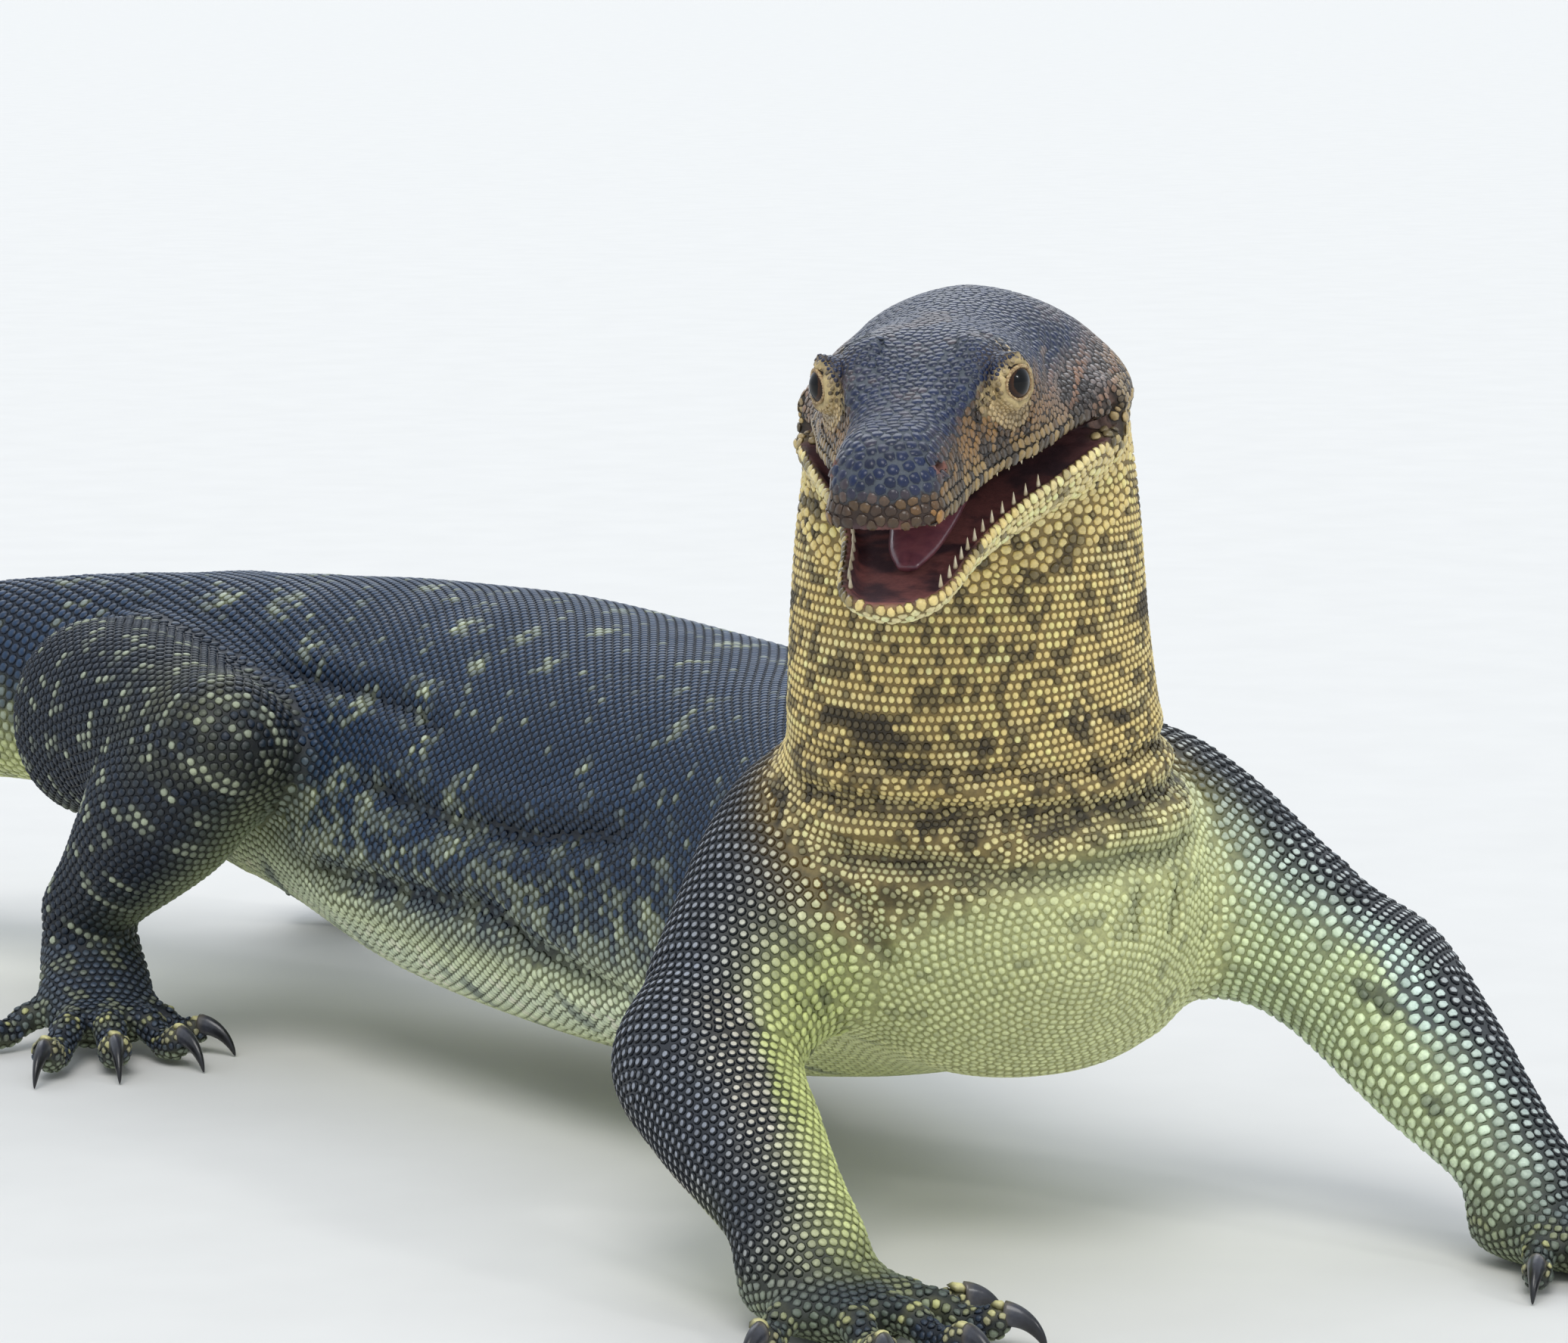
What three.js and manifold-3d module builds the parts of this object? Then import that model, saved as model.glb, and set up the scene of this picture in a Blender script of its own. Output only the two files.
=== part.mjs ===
// Life-size still model of a water monitor lizard (Varanus salvator), standing with its head raised and turned to its right.
// Millimetres, +Z up. The trunk runs along Y, with the head towards -Y and the tail towards +Y.
// The animal's right side faces -X. The floor is Z = 0, and the soles, digits and tail have small flats there.
import * as THREE from "three";
import { mergeVertices } from "three/addons/utils/BufferGeometryUtils.js";
import Module from "manifold-3d";

const wasm = await Module();
wasm.setup();

// ---------------------------------------------------------------- driving dimensions
const GAP = 0.3; // thin cut between neighbouring pieces
const SHOULDER_MID = [34.6, -37.8]; // plan position of the spine between the shoulders
const STEP = 2; // step of the spine's integration

// Spine stations from chest to tail tip. s: arc length from the shoulders, turn: heading from +Y towards +X in degrees,
// z: height of the section's centre, w: half width, u: height above the centre, d: depth below it,
// nt and nb: how square the upper and lower halves of the section are (2 is an ellipse).
const SPINE = [
  // s, turn, z, w, u, d, nt, nb
  [-66, 22, 82, 30, 28, 28, 2.1, 2.1],
  [-35, 22, 83, 47, 41, 40, 2.3, 2.2],
  [0, 21, 80, 54, 48, 40, 2.5, 2.3],
  [60, 19, 70, 57, 57, 43, 2.6, 2.4],
  [130, 14, 63, 63, 65, 46, 2.5, 2.4],
  [200, 9, 62, 66, 69, 47, 2.3, 2.4],
  [270, 3, 68, 63, 67, 48, 2.1, 2.4],
  [330, -3, 78, 53, 56, 46, 2.1, 2.3],
  [400, -10, 88, 42, 41, 40, 2.1, 2.2],
  [440, -14, 90, 36, 36, 34, 2.0, 2.1],
  [490, -18, 88, 30.5, 33, 29, 1.9, 2.1],
  [560, -20, 75, 25, 30, 27, 1.8, 2.1],
  [640, -18, 53, 20.5, 26.5, 24, 1.75, 2.2],
  [740, -8, 29, 16.2, 23, 20.5, 1.7, 2.3],
  [820, 3, 18.6, 13.6, 20.4, 18.2, 1.7, 2.4],
  [920, 16, 13.6, 11, 17.4, 14.2, 1.7, 2.4],
  [1030, 27, 10.8, 8.7, 14.5, 11.4, 1.7, 2.4],
  [1160, 25, 7.9, 5.9, 10.8, 8.4, 1.7, 2.4],
  [1300, 13, 5.0, 3.6, 6.9, 5.4, 1.8, 2.4],
  [1430, 0, 2.6, 1.7, 3.0, 3.0, 2.0, 2.4],
];
const TRUNK_CUTS = [-66, 95, 245, 440]; // chest, belly, pelvis
const TAIL_CUTS = [440, 580, 740, 900, 1080, 1260, 1430];

// Neck stations: x, y, z of the centre, w half width, u towards the nape, d towards the throat.
const NECK = [
  [22.4, -49.8, 84, 44, 34, 28],
  [14, -57, 106, 46, 33, 31],
  [6.1, -62, 132, 45.5, 31, 33],
  [1, -65.5, 158, 43.5, 29, 34],
  [-0.4, -67, 184, 41.5, 27.5, 33],
  [0, -67.3, 206, 38, 25, 26],
  [-0.3, -68.3, 219, 31, 20, 16],
];
const NECK_LEFT_LOW = [0.927, -0.375, 0]; // the animal's left at the neck's foot
const NECK_LEFT_HIGH = [0.573, -0.819, 0]; // and at the head

// Head frame: origin between the jaw joints on the line of the lips, x to the snout's tip, y to the animal's left, z up.
const HEAD_AT = [3.6, -64.2, 214.6];
const HEAD_YAW = 53; // from -Y towards -X, in degrees
const HEAD_PITCH = -10;
const HEAD_ROLL = 2;
const HEAD_LENGTH = 130;
// x, half width w, height of the top over the lips, depth of the underside, squareness
const HEAD = [
  [-27, 17, 4, 11, 1.95],
  [-21, 27, 12.5, 15, 1.9],
  [-13, 33.6, 19.4, 17.6, 1.8],
  [-4, 37.8, 24, 20, 1.7],
  [8, 40, 27, 20, 1.65],
  [20, 39.6, 27.8, 14, 1.65],
  [30, 36.6, 27.8, 5, 1.72],
  [40, 32.8, 28, 1.2, 1.92],
  [50, 30, 28.6, 0.8, 2.35],
  [58, 28, 29, 0.8, 2.75],
  [66, 25.8, 28.6, 0.8, 3.0],
  [74, 22.6, 27.2, 0.8, 3.0],
  [82, 19.8, 24.4, 0.8, 2.9],
  [90, 17.8, 21.8, 0.8, 2.7],
  [100, 16.2, 19.8, 0.8, 2.6],
  [110, 15.3, 19.2, 0.8, 2.6],
  [117, 14.3, 18.6, 0.8, 2.5],
  [122, 12.8, 17, 0.8, 2.4],
  [126, 10.4, 14, 0.9, 2.3],
  [129, 6.6, 9.6, 1.0, 2.2],
  [130, 3.2, 5.6, 1.0, 2.1],
];
const EYE_AT = [71, 18.9, 18.4]; // the left eye's centre; the right one is its mirror image
const EYE_R = 6.5;
// Lower jaw, in a frame at the jaw joint that is dropped by the gape.
const JAW_HINGE = [16, 0, -3];
const GAPE = 7.5; // degrees
// x, half width, underside depth, floor height below the rim of the jaw
const JAW = [
  [-18, 30, 16, 0],
  [-6, 37, 20, 0],
  [6, 39.4, 21, 0],
  [16, 38, 20, 1],
  [28, 33.6, 18, 3.5],
  [40, 28.6, 16.5, 4.5],
  [52, 23.6, 15, 5],
  [64, 19.4, 13.5, 5],
  [76, 16.6, 12.2, 4.8],
  [88, 15, 11, 4.4],
  [98, 13.8, 9.6, 3.6],
  [105, 11.4, 8, 2.6],
  [109.5, 7.6, 6.2, 1.4],
  [111.5, 3.4, 3.8, 0.4],
];

// Limbs. Each segment's table: t along the bone, r1 across (level), r2 in the upright plane.
const ARM = {
  upper: [[0, 25, 27], [0.25, 25, 26], [0.5, 23.5, 23], [0.75, 22, 20.5], [1, 20, 19.5]],
  lower: [[0, 20, 19.5], [0.2, 21, 19.5], [0.42, 20, 17.8], [0.65, 17.8, 15], [0.85, 16.4, 12.4], [1, 16.2, 10.8]],
};
const LEG = {
  upper: [[0, 27, 30], [0.25, 27, 29], [0.5, 25.5, 26.5], [0.75, 22.5, 22], [1, 19.5, 19]],
  lower: [[0, 18, 17.5], [0.2, 22.4, 21.6], [0.42, 23.6, 22.4], [0.65, 20.4, 19.2], [0.85, 16.4, 15.4], [1, 15.4, 12.8]],
};
// Digits: forward and outward place of the knuckle from the wrist, splay in degrees outward, length, thickness.
const HAND = [
  [13, -14.5, -56, 20, 4.5],
  [23, -11, -28, 27, 4.8],
  [27, -2, 0, 31, 4.9],
  [24, 7.5, 21, 30, 4.8],
  [13, 14, 58, 21, 4.5],
];
const FOOT = [
  [22, -13, -46, 22, 4.8],
  [31, -9.5, -24, 29, 5.1],
  [35, -1.5, 0, 34, 5.3],
  [33, 7, 17, 41, 5.2],
  [14, 13.5, 55, 26, 4.8],
];
const CLAW_LENGTH = 13.5;
// Joints of the limbs. heading: the foot's forward direction, from -Y towards -X in degrees.
const LIMBS = {
  fore_right: { side: -1, kind: "fore", a: [-8, -22, 97], b: [-56.5, -32.5, 52], c: [-76, -90, 22], heading: 2 },
  fore_left: { side: 1, kind: "fore", a: [78, -51, 97], b: [103, -106, 61], c: [102.5, -157, 21], heading: -8 },
  hind_right: { side: -1, kind: "hind", a: [38, 345, 90], b: [20.6, 264, 92], c: [16, 322, 39], heading: 31 },
  hind_left: { side: 1, kind: "hind", a: [108, 356, 90], b: [172, 376, 78], c: [186, 432, 34], heading: -48 },
};

// ---------------------------------------------------------------- small vector helpers
const rad = (a) => (a * Math.PI) / 180;
const add = (a, b) => [a[0] + b[0], a[1] + b[1], a[2] + b[2]];
const sub = (a, b) => [a[0] - b[0], a[1] - b[1], a[2] - b[2]];
const mul = (a, k) => [a[0] * k, a[1] * k, a[2] * k];
const dot = (a, b) => a[0] * b[0] + a[1] * b[1] + a[2] * b[2];
const cross = (a, b) => [a[1] * b[2] - a[2] * b[1], a[2] * b[0] - a[0] * b[2], a[0] * b[1] - a[1] * b[0]];
const unit = (a) => mul(a, 1 / Math.hypot(...a));
const mix = (a, b, t) => add(mul(a, 1 - t), mul(b, t));

// Smooth interpolation of a table's columns by its first column.
function at(table, x) {
  const n = table.length;
  if (x <= table[0][0]) return table[0].slice(1);
  if (x >= table[n - 1][0]) return table[n - 1].slice(1);
  let i = 0;
  while (x > table[i + 1][0]) i++;
  const x0 = table[i][0], x1 = table[i + 1][0], h = x1 - x0, t = (x - x0) / h;
  const slope = (k, c) => {
    if (k === 0) return (table[1][c] - table[0][c]) / (table[1][0] - table[0][0]);
    if (k === n - 1) return (table[k][c] - table[k - 1][c]) / (table[k][0] - table[k - 1][0]);
    const a = (table[k][c] - table[k - 1][c]) / (table[k][0] - table[k - 1][0]);
    const b = (table[k + 1][c] - table[k][c]) / (table[k + 1][0] - table[k][0]);
    const ha = table[k][0] - table[k - 1][0], hb = table[k + 1][0] - table[k][0];
    return (a * hb + b * ha) / (ha + hb);
  };
  const out = [];
  for (let c = 1; c < table[0].length; c++) {
    const m0 = slope(i, c) * h, m1 = slope(i + 1, c) * h, p0 = table[i][c], p1 = table[i + 1][c];
    out.push(
      (2 * t ** 3 - 3 * t ** 2 + 1) * p0 + (t ** 3 - 2 * t ** 2 + t) * m0 + (-2 * t ** 3 + 3 * t ** 2) * p1 + (t ** 3 - t ** 2) * m1,
    );
  }
  return out;
}

// ---------------------------------------------------------------- solids
const solidOf = (geometry) => {
  const g = geometry.clone();
  g.deleteAttribute("normal");
  g.deleteAttribute("uv");
  const m = mergeVertices(g, 1e-4);
  const make = (tri) => new wasm.Manifold(new wasm.Mesh({ numProp: 3, vertProperties: m.attributes.position.array, triVerts: tri }));
  const tri = new Uint32Array(m.index.array);
  const s = make(tri);
  if (s.volume() > 0) return s;
  for (let i = 0; i < tri.length; i += 3) [tri[i + 1], tri[i + 2]] = [tri[i + 2], tri[i + 1]];
  return make(tri);
};
const geometryOf = (solid) => {
  const m = solid.getMesh(), v = new Float32Array(m.numVert * 3);
  for (let i = 0; i < m.numVert; i++) v.set(m.vertProperties.subarray(i * m.numProp, i * m.numProp + 3), i * 3);
  const g = new THREE.BufferGeometry().setAttribute("position", new THREE.BufferAttribute(v, 3)).setIndex(new THREE.BufferAttribute(m.triVerts, 1));
  g.computeVertexNormals();
  return g;
};

// A closed skin over rings of equal size: a capped cylinder bent so that its rows of points lie on the rings.
function loft(rings) {
  const rows = rings.length, sides = rings[0].length;
  const g = new THREE.CylinderGeometry(1, 1, 1, sides, rows - 1, false);
  const p = g.attributes.position;
  const mean = (ring) => mul(ring.reduce(add, [0, 0, 0]), 1 / sides);
  for (let i = 0; i < p.count; i++) {
    const row = Math.round((0.5 - p.getY(i)) * (rows - 1));
    const centre = Math.hypot(p.getX(i), p.getZ(i)) < 1e-3;
    const k = ((Math.round((Math.atan2(p.getX(i), p.getZ(i)) / (2 * Math.PI)) * sides) % sides) + sides) % sides;
    p.setXYZ(i, ...(centre ? mean(rings[row]) : rings[row][k]));
  }
  return solidOf(g);
}

// Rings of a cutter: the end rings move outwards too, so that the gap goes all round.
function longer(rings, grow) {
  const mean = (ring) => mul(ring.reduce(add, [0, 0, 0]), 1 / ring.length), n = rings.length;
  const push = (end, next) => {
    const d = mul(unit(sub(mean(end), mean(next))), grow);
    return end.map((p) => add(p, d));
  };
  return [push(rings[0], rings[1]), ...rings.slice(1, -1), push(rings[n - 1], rings[n - 2])];
}

// A section: centre c, left l and up v, half width w, up u, down d, squareness above nt and below nb.
function section(c, l, v, w, u, d, nt, nb, sides, grow = 0) {
  const ring = [];
  for (let k = 0; k < sides; k++) {
    const a = (2 * Math.PI * k) / sides, ca = Math.cos(a), sa = Math.sin(a), n = sa >= 0 ? nt : nb;
    const y = Math.sign(ca) * Math.abs(ca) ** (2 / n) * (w + grow), z = Math.sign(sa) * Math.abs(sa) ** (2 / n) * ((sa >= 0 ? u : d) + grow);
    ring.push(add(c, add(mul(l, y), mul(v, z))));
  }
  return ring;
}

// ---------------------------------------------------------------- spine
const spineTrack = (() => {
  const from = SPINE[0][0], to = SPINE[SPINE.length - 1][0], track = [];
  let x = SHOULDER_MID[0], y = SHOULDER_MID[1];
  const walk = (s0, s1, ds) => {
    let px = x, py = y;
    const out = [];
    for (let s = s0; ds > 0 ? s <= s1 : s >= s1; s += ds) {
      out.push([s, px, py]);
      const b = rad(at(SPINE, s + ds / 2)[0]);
      px += Math.sin(b) * ds;
      py += Math.cos(b) * ds;
    }
    return out;
  };
  const back = walk(0, from - STEP, -STEP).reverse(), on = walk(0, to + STEP, STEP);
  track.push(...back.slice(0, -1), ...on);
  return track;
})();
const spineAt = (s) => {
  const [x, y] = at(spineTrack.map((r) => [r[0], r[1], r[2]]).filter((r) => Math.abs(r[0] - s) < 8), s);
  return [x, y, at(SPINE, s)[1]];
};
function spineRing(s, sides, grow = 0, scale = 1) {
  const [, , w, u, d, nt, nb] = at(SPINE, s);
  const c = spineAt(s), f = unit(sub(spineAt(s - 1), spineAt(s + 1)));
  const l = unit(cross([0, 0, 1], f)), v = cross(f, l);
  return section(c, l, v, w * scale, u * scale, d * scale, nt, nb, sides, grow * scale);
}
function spinePiece(s0, s1, sides, step, grow = 0) {
  const rings = [], count = Math.max(2, Math.round((s1 - s0) / step));
  for (let i = 0; i <= count; i++) rings.push(spineRing(s0 + ((s1 - s0) * i) / count, sides, grow));
  return rings;
}
// The breast: rings close towards the front as a rounded end does.
function chestRings(s1, sides, step, grow = 0) {
  const s0 = SPINE[0][0], round = 46, rings = [];
  for (const a of [84, 66, 48, 30, 14]) {
    const s = s0 + round * (1 - Math.sin(rad(a)));
    rings.push(spineRing(s, sides, grow, Math.cos(rad(a)) * 0.93 + 0.07));
  }
  const count = Math.round((s1 - s0 - round) / step);
  for (let i = 0; i <= count; i++) rings.push(spineRing(s0 + round + ((s1 - s0 - round) * i) / count, sides, grow));
  return rings;
}
const above = (solid) => solid.trimByPlane([0, 0, 1], 0);

// ---------------------------------------------------------------- neck and head
function neckRings(sides, grow = 0) {
  const n = NECK.length, table = NECK.map((r, i) => [i, ...r]), rings = [];
  for (let i = 0; i <= (n - 1) * 2; i++) {
    const t = i / 2, [x, y, z, w, u, d] = at(table, t);
    const p0 = at(table, Math.max(0, t - 0.1)), p1 = at(table, Math.min(n - 1, t + 0.1));
    const f = unit(sub(p1.slice(0, 3), p0.slice(0, 3)));
    let l = mix(NECK_LEFT_LOW, NECK_LEFT_HIGH, t / (n - 1));
    l = unit(sub(l, mul(f, dot(l, f))));
    const end = i === 0 || i === (n - 1) * 2 ? 0.8 : 1;
    rings.push(section([x, y, z], l, cross(f, l), w * end, u * end, d * end, 2.1, 2.1, sides, grow));
  }
  return rings.reverse();
}
const headF = (() => {
  const y = rad(HEAD_YAW), p = rad(HEAD_PITCH);
  const f = [-Math.sin(y) * Math.cos(p), -Math.cos(y) * Math.cos(p), Math.sin(p)];
  let l = unit(cross([0, 0, 1], f)), v = cross(f, l);
  const r = rad(HEAD_ROLL);
  [l, v] = [add(mul(l, Math.cos(r)), mul(v, Math.sin(r))), add(mul(v, Math.cos(r)), mul(l, -Math.sin(r)))];
  return { o: HEAD_AT, f, l, v };
})();
const place = (fr, p) => add(fr.o, add(mul(fr.f, p[0]), add(mul(fr.l, p[1]), mul(fr.v, p[2]))));
const jawF = (() => {
  const g = rad(-GAPE), o = place(headF, JAW_HINGE);
  return { o, f: add(mul(headF.f, Math.cos(g)), mul(headF.v, Math.sin(g))), l: headF.l, v: add(mul(headF.v, Math.cos(g)), mul(headF.f, -Math.sin(g))) };
})();
const bump = (x, c, s) => Math.exp(-(((x - c) / s) ** 2));
// The head's section at x: a square-shouldered top, the brow's ridge, the hollow of the cheek before the eye, and the palate.
function headPoint(x, a, grow = 0) {
  const [w, top, under, n] = at(HEAD, x), ca = Math.cos(a), sa = Math.sin(a);
  let y = Math.sign(ca) * Math.abs(ca) ** (2 / n), z = Math.sign(sa) * Math.abs(sa) ** (2 / n);
  if (sa >= 0) {
    y *= w + grow;
    z *= top + grow;
    const side = Math.abs(y) / w, high = z / top;
    // the brow stands out over the eye, and the face falls in before it and below it
    y += Math.sign(y) * 1.6 * bump(x, 68, 11) * bump(high, 0.8, 0.22);
    y -= Math.sign(y) * 1.8 * bump(x, 88, 13) * bump(high, 0.52, 0.24);
    // the temple falls in over the swelling of the jaw muscles
    y -= Math.sign(y) * 4.4 * bump(x, 24, 28) * bump(high, 0.46, 0.27);
    // the crown is a little hollow between the brows
    z -= 1.2 * bump(x, 72, 16) * bump(side, 0, 0.45);
    // the nasal swelling
    z += 1.0 * bump(x, 112, 8) * bump(side, 0.45, 0.35);
  } else {
    y *= w + grow;
    z *= under + grow;
    // the palate rises inside the lips
    const inside = Math.min(1, Math.max(0, (w - 2.2 - Math.abs(y)) / 3));
    const mouth = Math.min(1, Math.max(0, (x - 34) / 10)) * Math.min(1, Math.max(0, (127 - x) / 4));
    z += inside * mouth * 3.2;
  }
  return [x, y, z];
}
function headRings(sides, grow = 0) {
  const xs = [-26, -20, -12, -3, 8, 20, 30, 38, 46, 54, 60, 66, 71, 76, 83, 90, 98, 106, 113, 118, 122, 125.5, 128, 129.6];
  return xs.map((x) => Array.from({ length: sides }, (_, k) => place(headF, headPoint(x, (2 * Math.PI * (k + 0.5)) / sides, grow)))).reverse();
}
function jawPoint(x, a, grow = 0) {
  const [w, under, floor] = at(JAW, x), ca = Math.cos(a), sa = Math.sin(a), n = sa >= 0 ? 2.6 : 2.3;
  const y = Math.sign(ca) * Math.abs(ca) ** (2 / n) * (w + grow);
  let z = Math.sign(sa) * Math.abs(sa) ** (2 / n);
  if (sa >= 0) {
    const inside = Math.min(1, Math.max(0, (w - 1.8 - Math.abs(y)) / 3));
    z = z * (0.9 + grow) - inside * floor;
  } else z *= under + grow;
  return [x, y, z];
}
function jawRings(sides, grow = 0) {
  const xs = [-18, -6, 6, 16, 28, 40, 52, 64, 76, 86, 95, 102, 107, 110, 111.5];
  return xs.map((x) => Array.from({ length: sides }, (_, k) => place(jawF, jawPoint(x, (2 * Math.PI * (k + 0.5)) / sides, grow)))).reverse();
}
// ---------------------------------------------------------------- limbs
function segmentRings(a, b, table, sides, grow = 0, ends = [true, true], per = 5) {
  const f = unit(sub(b, a)), hint = Math.abs(f[2]) > 0.85 ? [1, 0, 0] : [0, 0, 1];
  const l = unit(cross(hint, f)), v = cross(f, l), rings = [];
  const ring = (c, r1, r2) => section(c, l, v, r1, r2, r2, 2.1, 2.1, sides, grow);
  const first = table[0], last = table[table.length - 1];
  if (ends[0]) for (const q of [70, 38]) rings.push(ring(add(a, mul(f, -first[1] * Math.sin(rad(q)))), first[1] * Math.cos(rad(q)), first[2] * Math.cos(rad(q))));
  for (let i = 0; i <= per; i++) {
    const t = i / per, [r1, r2] = at(table, t);
    rings.push(ring(mix(a, b, t), r1, r2));
  }
  if (ends[1]) for (const q of [38, 70]) rings.push(ring(add(b, mul(f, last[1] * Math.sin(rad(q)))), last[1] * Math.cos(rad(q)), last[2] * Math.cos(rad(q))));
  return rings;
}
// A foot's frame: o under the wrist on the floor, f forward, l to the outside.
function footFrame(limb) {
  const h = rad(limb.heading), f = [-Math.sin(h), -Math.cos(h), 0];
  return { o: [limb.c[0], limb.c[1], 0], f, l: mul(cross([0, 0, 1], f), limb.side), v: [0, 0, 1] };
}
function palmRings(limb, sides, grow = 0) {
  const fr = footFrame(limb), fore = limb.kind === "fore", z0 = limb.c[2];
  const rows = fore
    ? [[-12, 9, 7, 10.5], [-6, 14.5, 10.5, z0 * 0.56], [4, 17, 10.5, z0 * 0.5], [14, 17.5, 9, 9], [23, 16, 7.4, 7.6], [30, 10, 5.4, 5.8]]
    : [[-13, 9, 8, z0 * 0.5], [-6, 14, 12, z0 * 0.58], [5, 16, 12, z0 * 0.52], [16, 17, 10.5, z0 * 0.4], [27, 16.5, 8.6, 10.2], [37, 10, 6, 7.4]];
  return rows.map(([x, w, h, z]) => section(place(fr, [x, 0, z]), fr.l, fr.v, w, h, h * 1.08, 2.3, 2.4, sides, grow));
}
// A digit's centre line: up over the knuckle and down to its pad.
function digitPath(limb, row, t) {
  const [x0, y0, splay, length, r] = row, fr = footFrame(limb), q = rad(splay + (t > 0.5 ? (t - 0.5) * splay * 0.08 : 0));
  const z = at([[-0.35, 8.5], [0, 9], [0.3, 8.8], [0.6, 5], [0.8, 5.4], [1, 9]], t)[0] * (r / 4.9) * (limb.kind === "hind" ? 1.08 : 1);
  return place(fr, [x0 + Math.cos(q) * length * t, y0 + Math.sin(q) * length * t, z]);
}
function digitRings(limb, row, sides, grow = 0) {
  const r = row[4], rings = [];
  for (const [t, k] of [[-0.3, 0.9], [0.05, 1.1], [0.33, 1.06], [0.62, 0.96], [0.84, 1.04], [1, 0.8]]) {
    const c = digitPath(limb, row, t), f = unit(sub(digitPath(limb, row, t + 0.05), digitPath(limb, row, t - 0.05)));
    const l = unit(cross([0, 0, 1], f)), v = cross(f, l);
    // the pad reaches just under the floor, where it is cut to a flat
    const down = t === 0.62 ? (c[2] + 0.8) / 0.866 : r * k * 1.02;
    rings.push(section(c, l, v, r * k, r * k * 1.02, down, 2, 2, sides, grow));
  }
  return rings;
}
// A claw: a hook of radius CLAW_HOOK that leaves the digit forwards and ends pointing at the floor.
function clawRings(limb, row, sides, grow = 0) {
  const c0 = digitPath(limb, row, 0.95), f = unit(sub(digitPath(limb, row, 1), digitPath(limb, row, 0.9))), flat = unit([f[0], f[1], 0]), rings = [];
  const long = CLAW_LENGTH * (limb.kind === "hind" ? 1.2 : 1), sweep = rad(70), R = long / sweep, drop = c0[2] - 0.4, k = drop / (R * (1 - Math.cos(sweep)));
  for (let i = 0; i <= 3; i++) {
    const t = i / 3, a = sweep * t, c = add(c0, add(mul(flat, R * Math.sin(a) * 0.94), [0, 0, -k * R * (1 - Math.cos(a))]));
    const d = unit(add(mul(flat, Math.cos(a)), [0, 0, -k * Math.sin(a)])), l = unit(cross([0, 0, 1], d)), v = cross(d, l);
    const r = 3.1 * (1 - t) ** 0.75 + 0.32;
    rings.push(section(c, l, v, r * 0.72, r, r * 0.9, 2, 2, sides, grow));
  }
  return rings;
}

// ---------------------------------------------------------------- assembly
const group = new THREE.Group();
const HIDE = new THREE.MeshStandardMaterial({ color: 0x2b2f2e, roughness: 0.62, metalness: 0 });
const PALE = new THREE.MeshStandardMaterial({ color: 0x9c9468, roughness: 0.66, metalness: 0 });
const HORN = new THREE.MeshStandardMaterial({ color: 0x1c1a18, roughness: 0.4, metalness: 0 });
const EYE = new THREE.MeshStandardMaterial({ color: 0x120c08, roughness: 0.12, metalness: 0 });
const TONGUE = new THREE.MeshStandardMaterial({ color: 0x6d5a68, roughness: 0.4, metalness: 0 });
const put = (name, solid, material) => {
  const parts = solid.decompose().sort((a, b) => b.volume() - a.volume());
  const mesh = new THREE.Mesh(geometryOf(above(parts[0])), material);
  mesh.name = name;
  group.add(mesh);
};

const SIDES = 18;
const head0 = loft(headRings(22)), headWide = loft(longer(headRings(22, GAP), GAP));
const jaw0 = loft(jawRings(16)), neckWide = loft(longer(neckRings(SIDES, GAP), GAP)), neck0 = loft(neckRings(SIDES));
const chestEnd = TRUNK_CUTS[1] - GAP / 2;
const chest0 = loft(chestRings(chestEnd, SIDES, 20));
const trunkWide = loft(longer(chestRings(TRUNK_CUTS[3], SIDES, 20, GAP), GAP));

// eyes, teeth and tongue
const eyeSolid = (side, grow) => {
  const g = new THREE.SphereGeometry(EYE_R + grow, 12, 8);
  g.translate(...place(headF, [EYE_AT[0], EYE_AT[1] * side, EYE_AT[2]]));
  return solidOf(g);
};
function teeth(frame, xs, halfWidth, z, down) {
  const out = [];
  for (const x of xs)
    for (const side of [1, -1]) {
      const g = new THREE.ConeGeometry(0.8, 2.8, 4);
      g.rotateX(down ? -Math.PI / 2 : Math.PI / 2); // along z
      g.applyMatrix4(new THREE.Matrix4().makeRotationY(down ? -0.25 : -0.25));
      const p = g.attributes.position, y = side * halfWidth(x);
      for (let i = 0; i < p.count; i++) p.setXYZ(i, ...place(frame, [x + p.getX(i), y + p.getY(i), z + p.getZ(i)]));
      out.push(solidOf(g));
    }
  return out;
}
const upperTeeth = teeth(headF, [62, 71, 80, 89, 98, 107, 115], (x) => at(HEAD, x)[0] - 2.6, -0.7, true);
const lowerTeeth = teeth(jawF, [48, 57, 66, 75, 84, 93, 100], (x) => at(JAW, x)[0] - 2.4, 0.2, false);
const sockets = [eyeSolid(1, GAP), eyeSolid(-1, GAP)];
let head = wasm.Manifold.union([head0, ...upperTeeth]).subtract(sockets[0]).subtract(sockets[1]);
let jaw = wasm.Manifold.union([jaw0, ...lowerTeeth]).subtract(headWide);
const jawWide = loft(longer(jawRings(16, GAP), GAP));
const neck = neck0.subtract(headWide).subtract(jawWide).subtract(trunkWide);
put("head", head, HIDE);
put("lower_jaw", jaw, PALE);
put("eye_left", eyeSolid(1, 0), EYE);
put("eye_right", eyeSolid(-1, 0), EYE);
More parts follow.
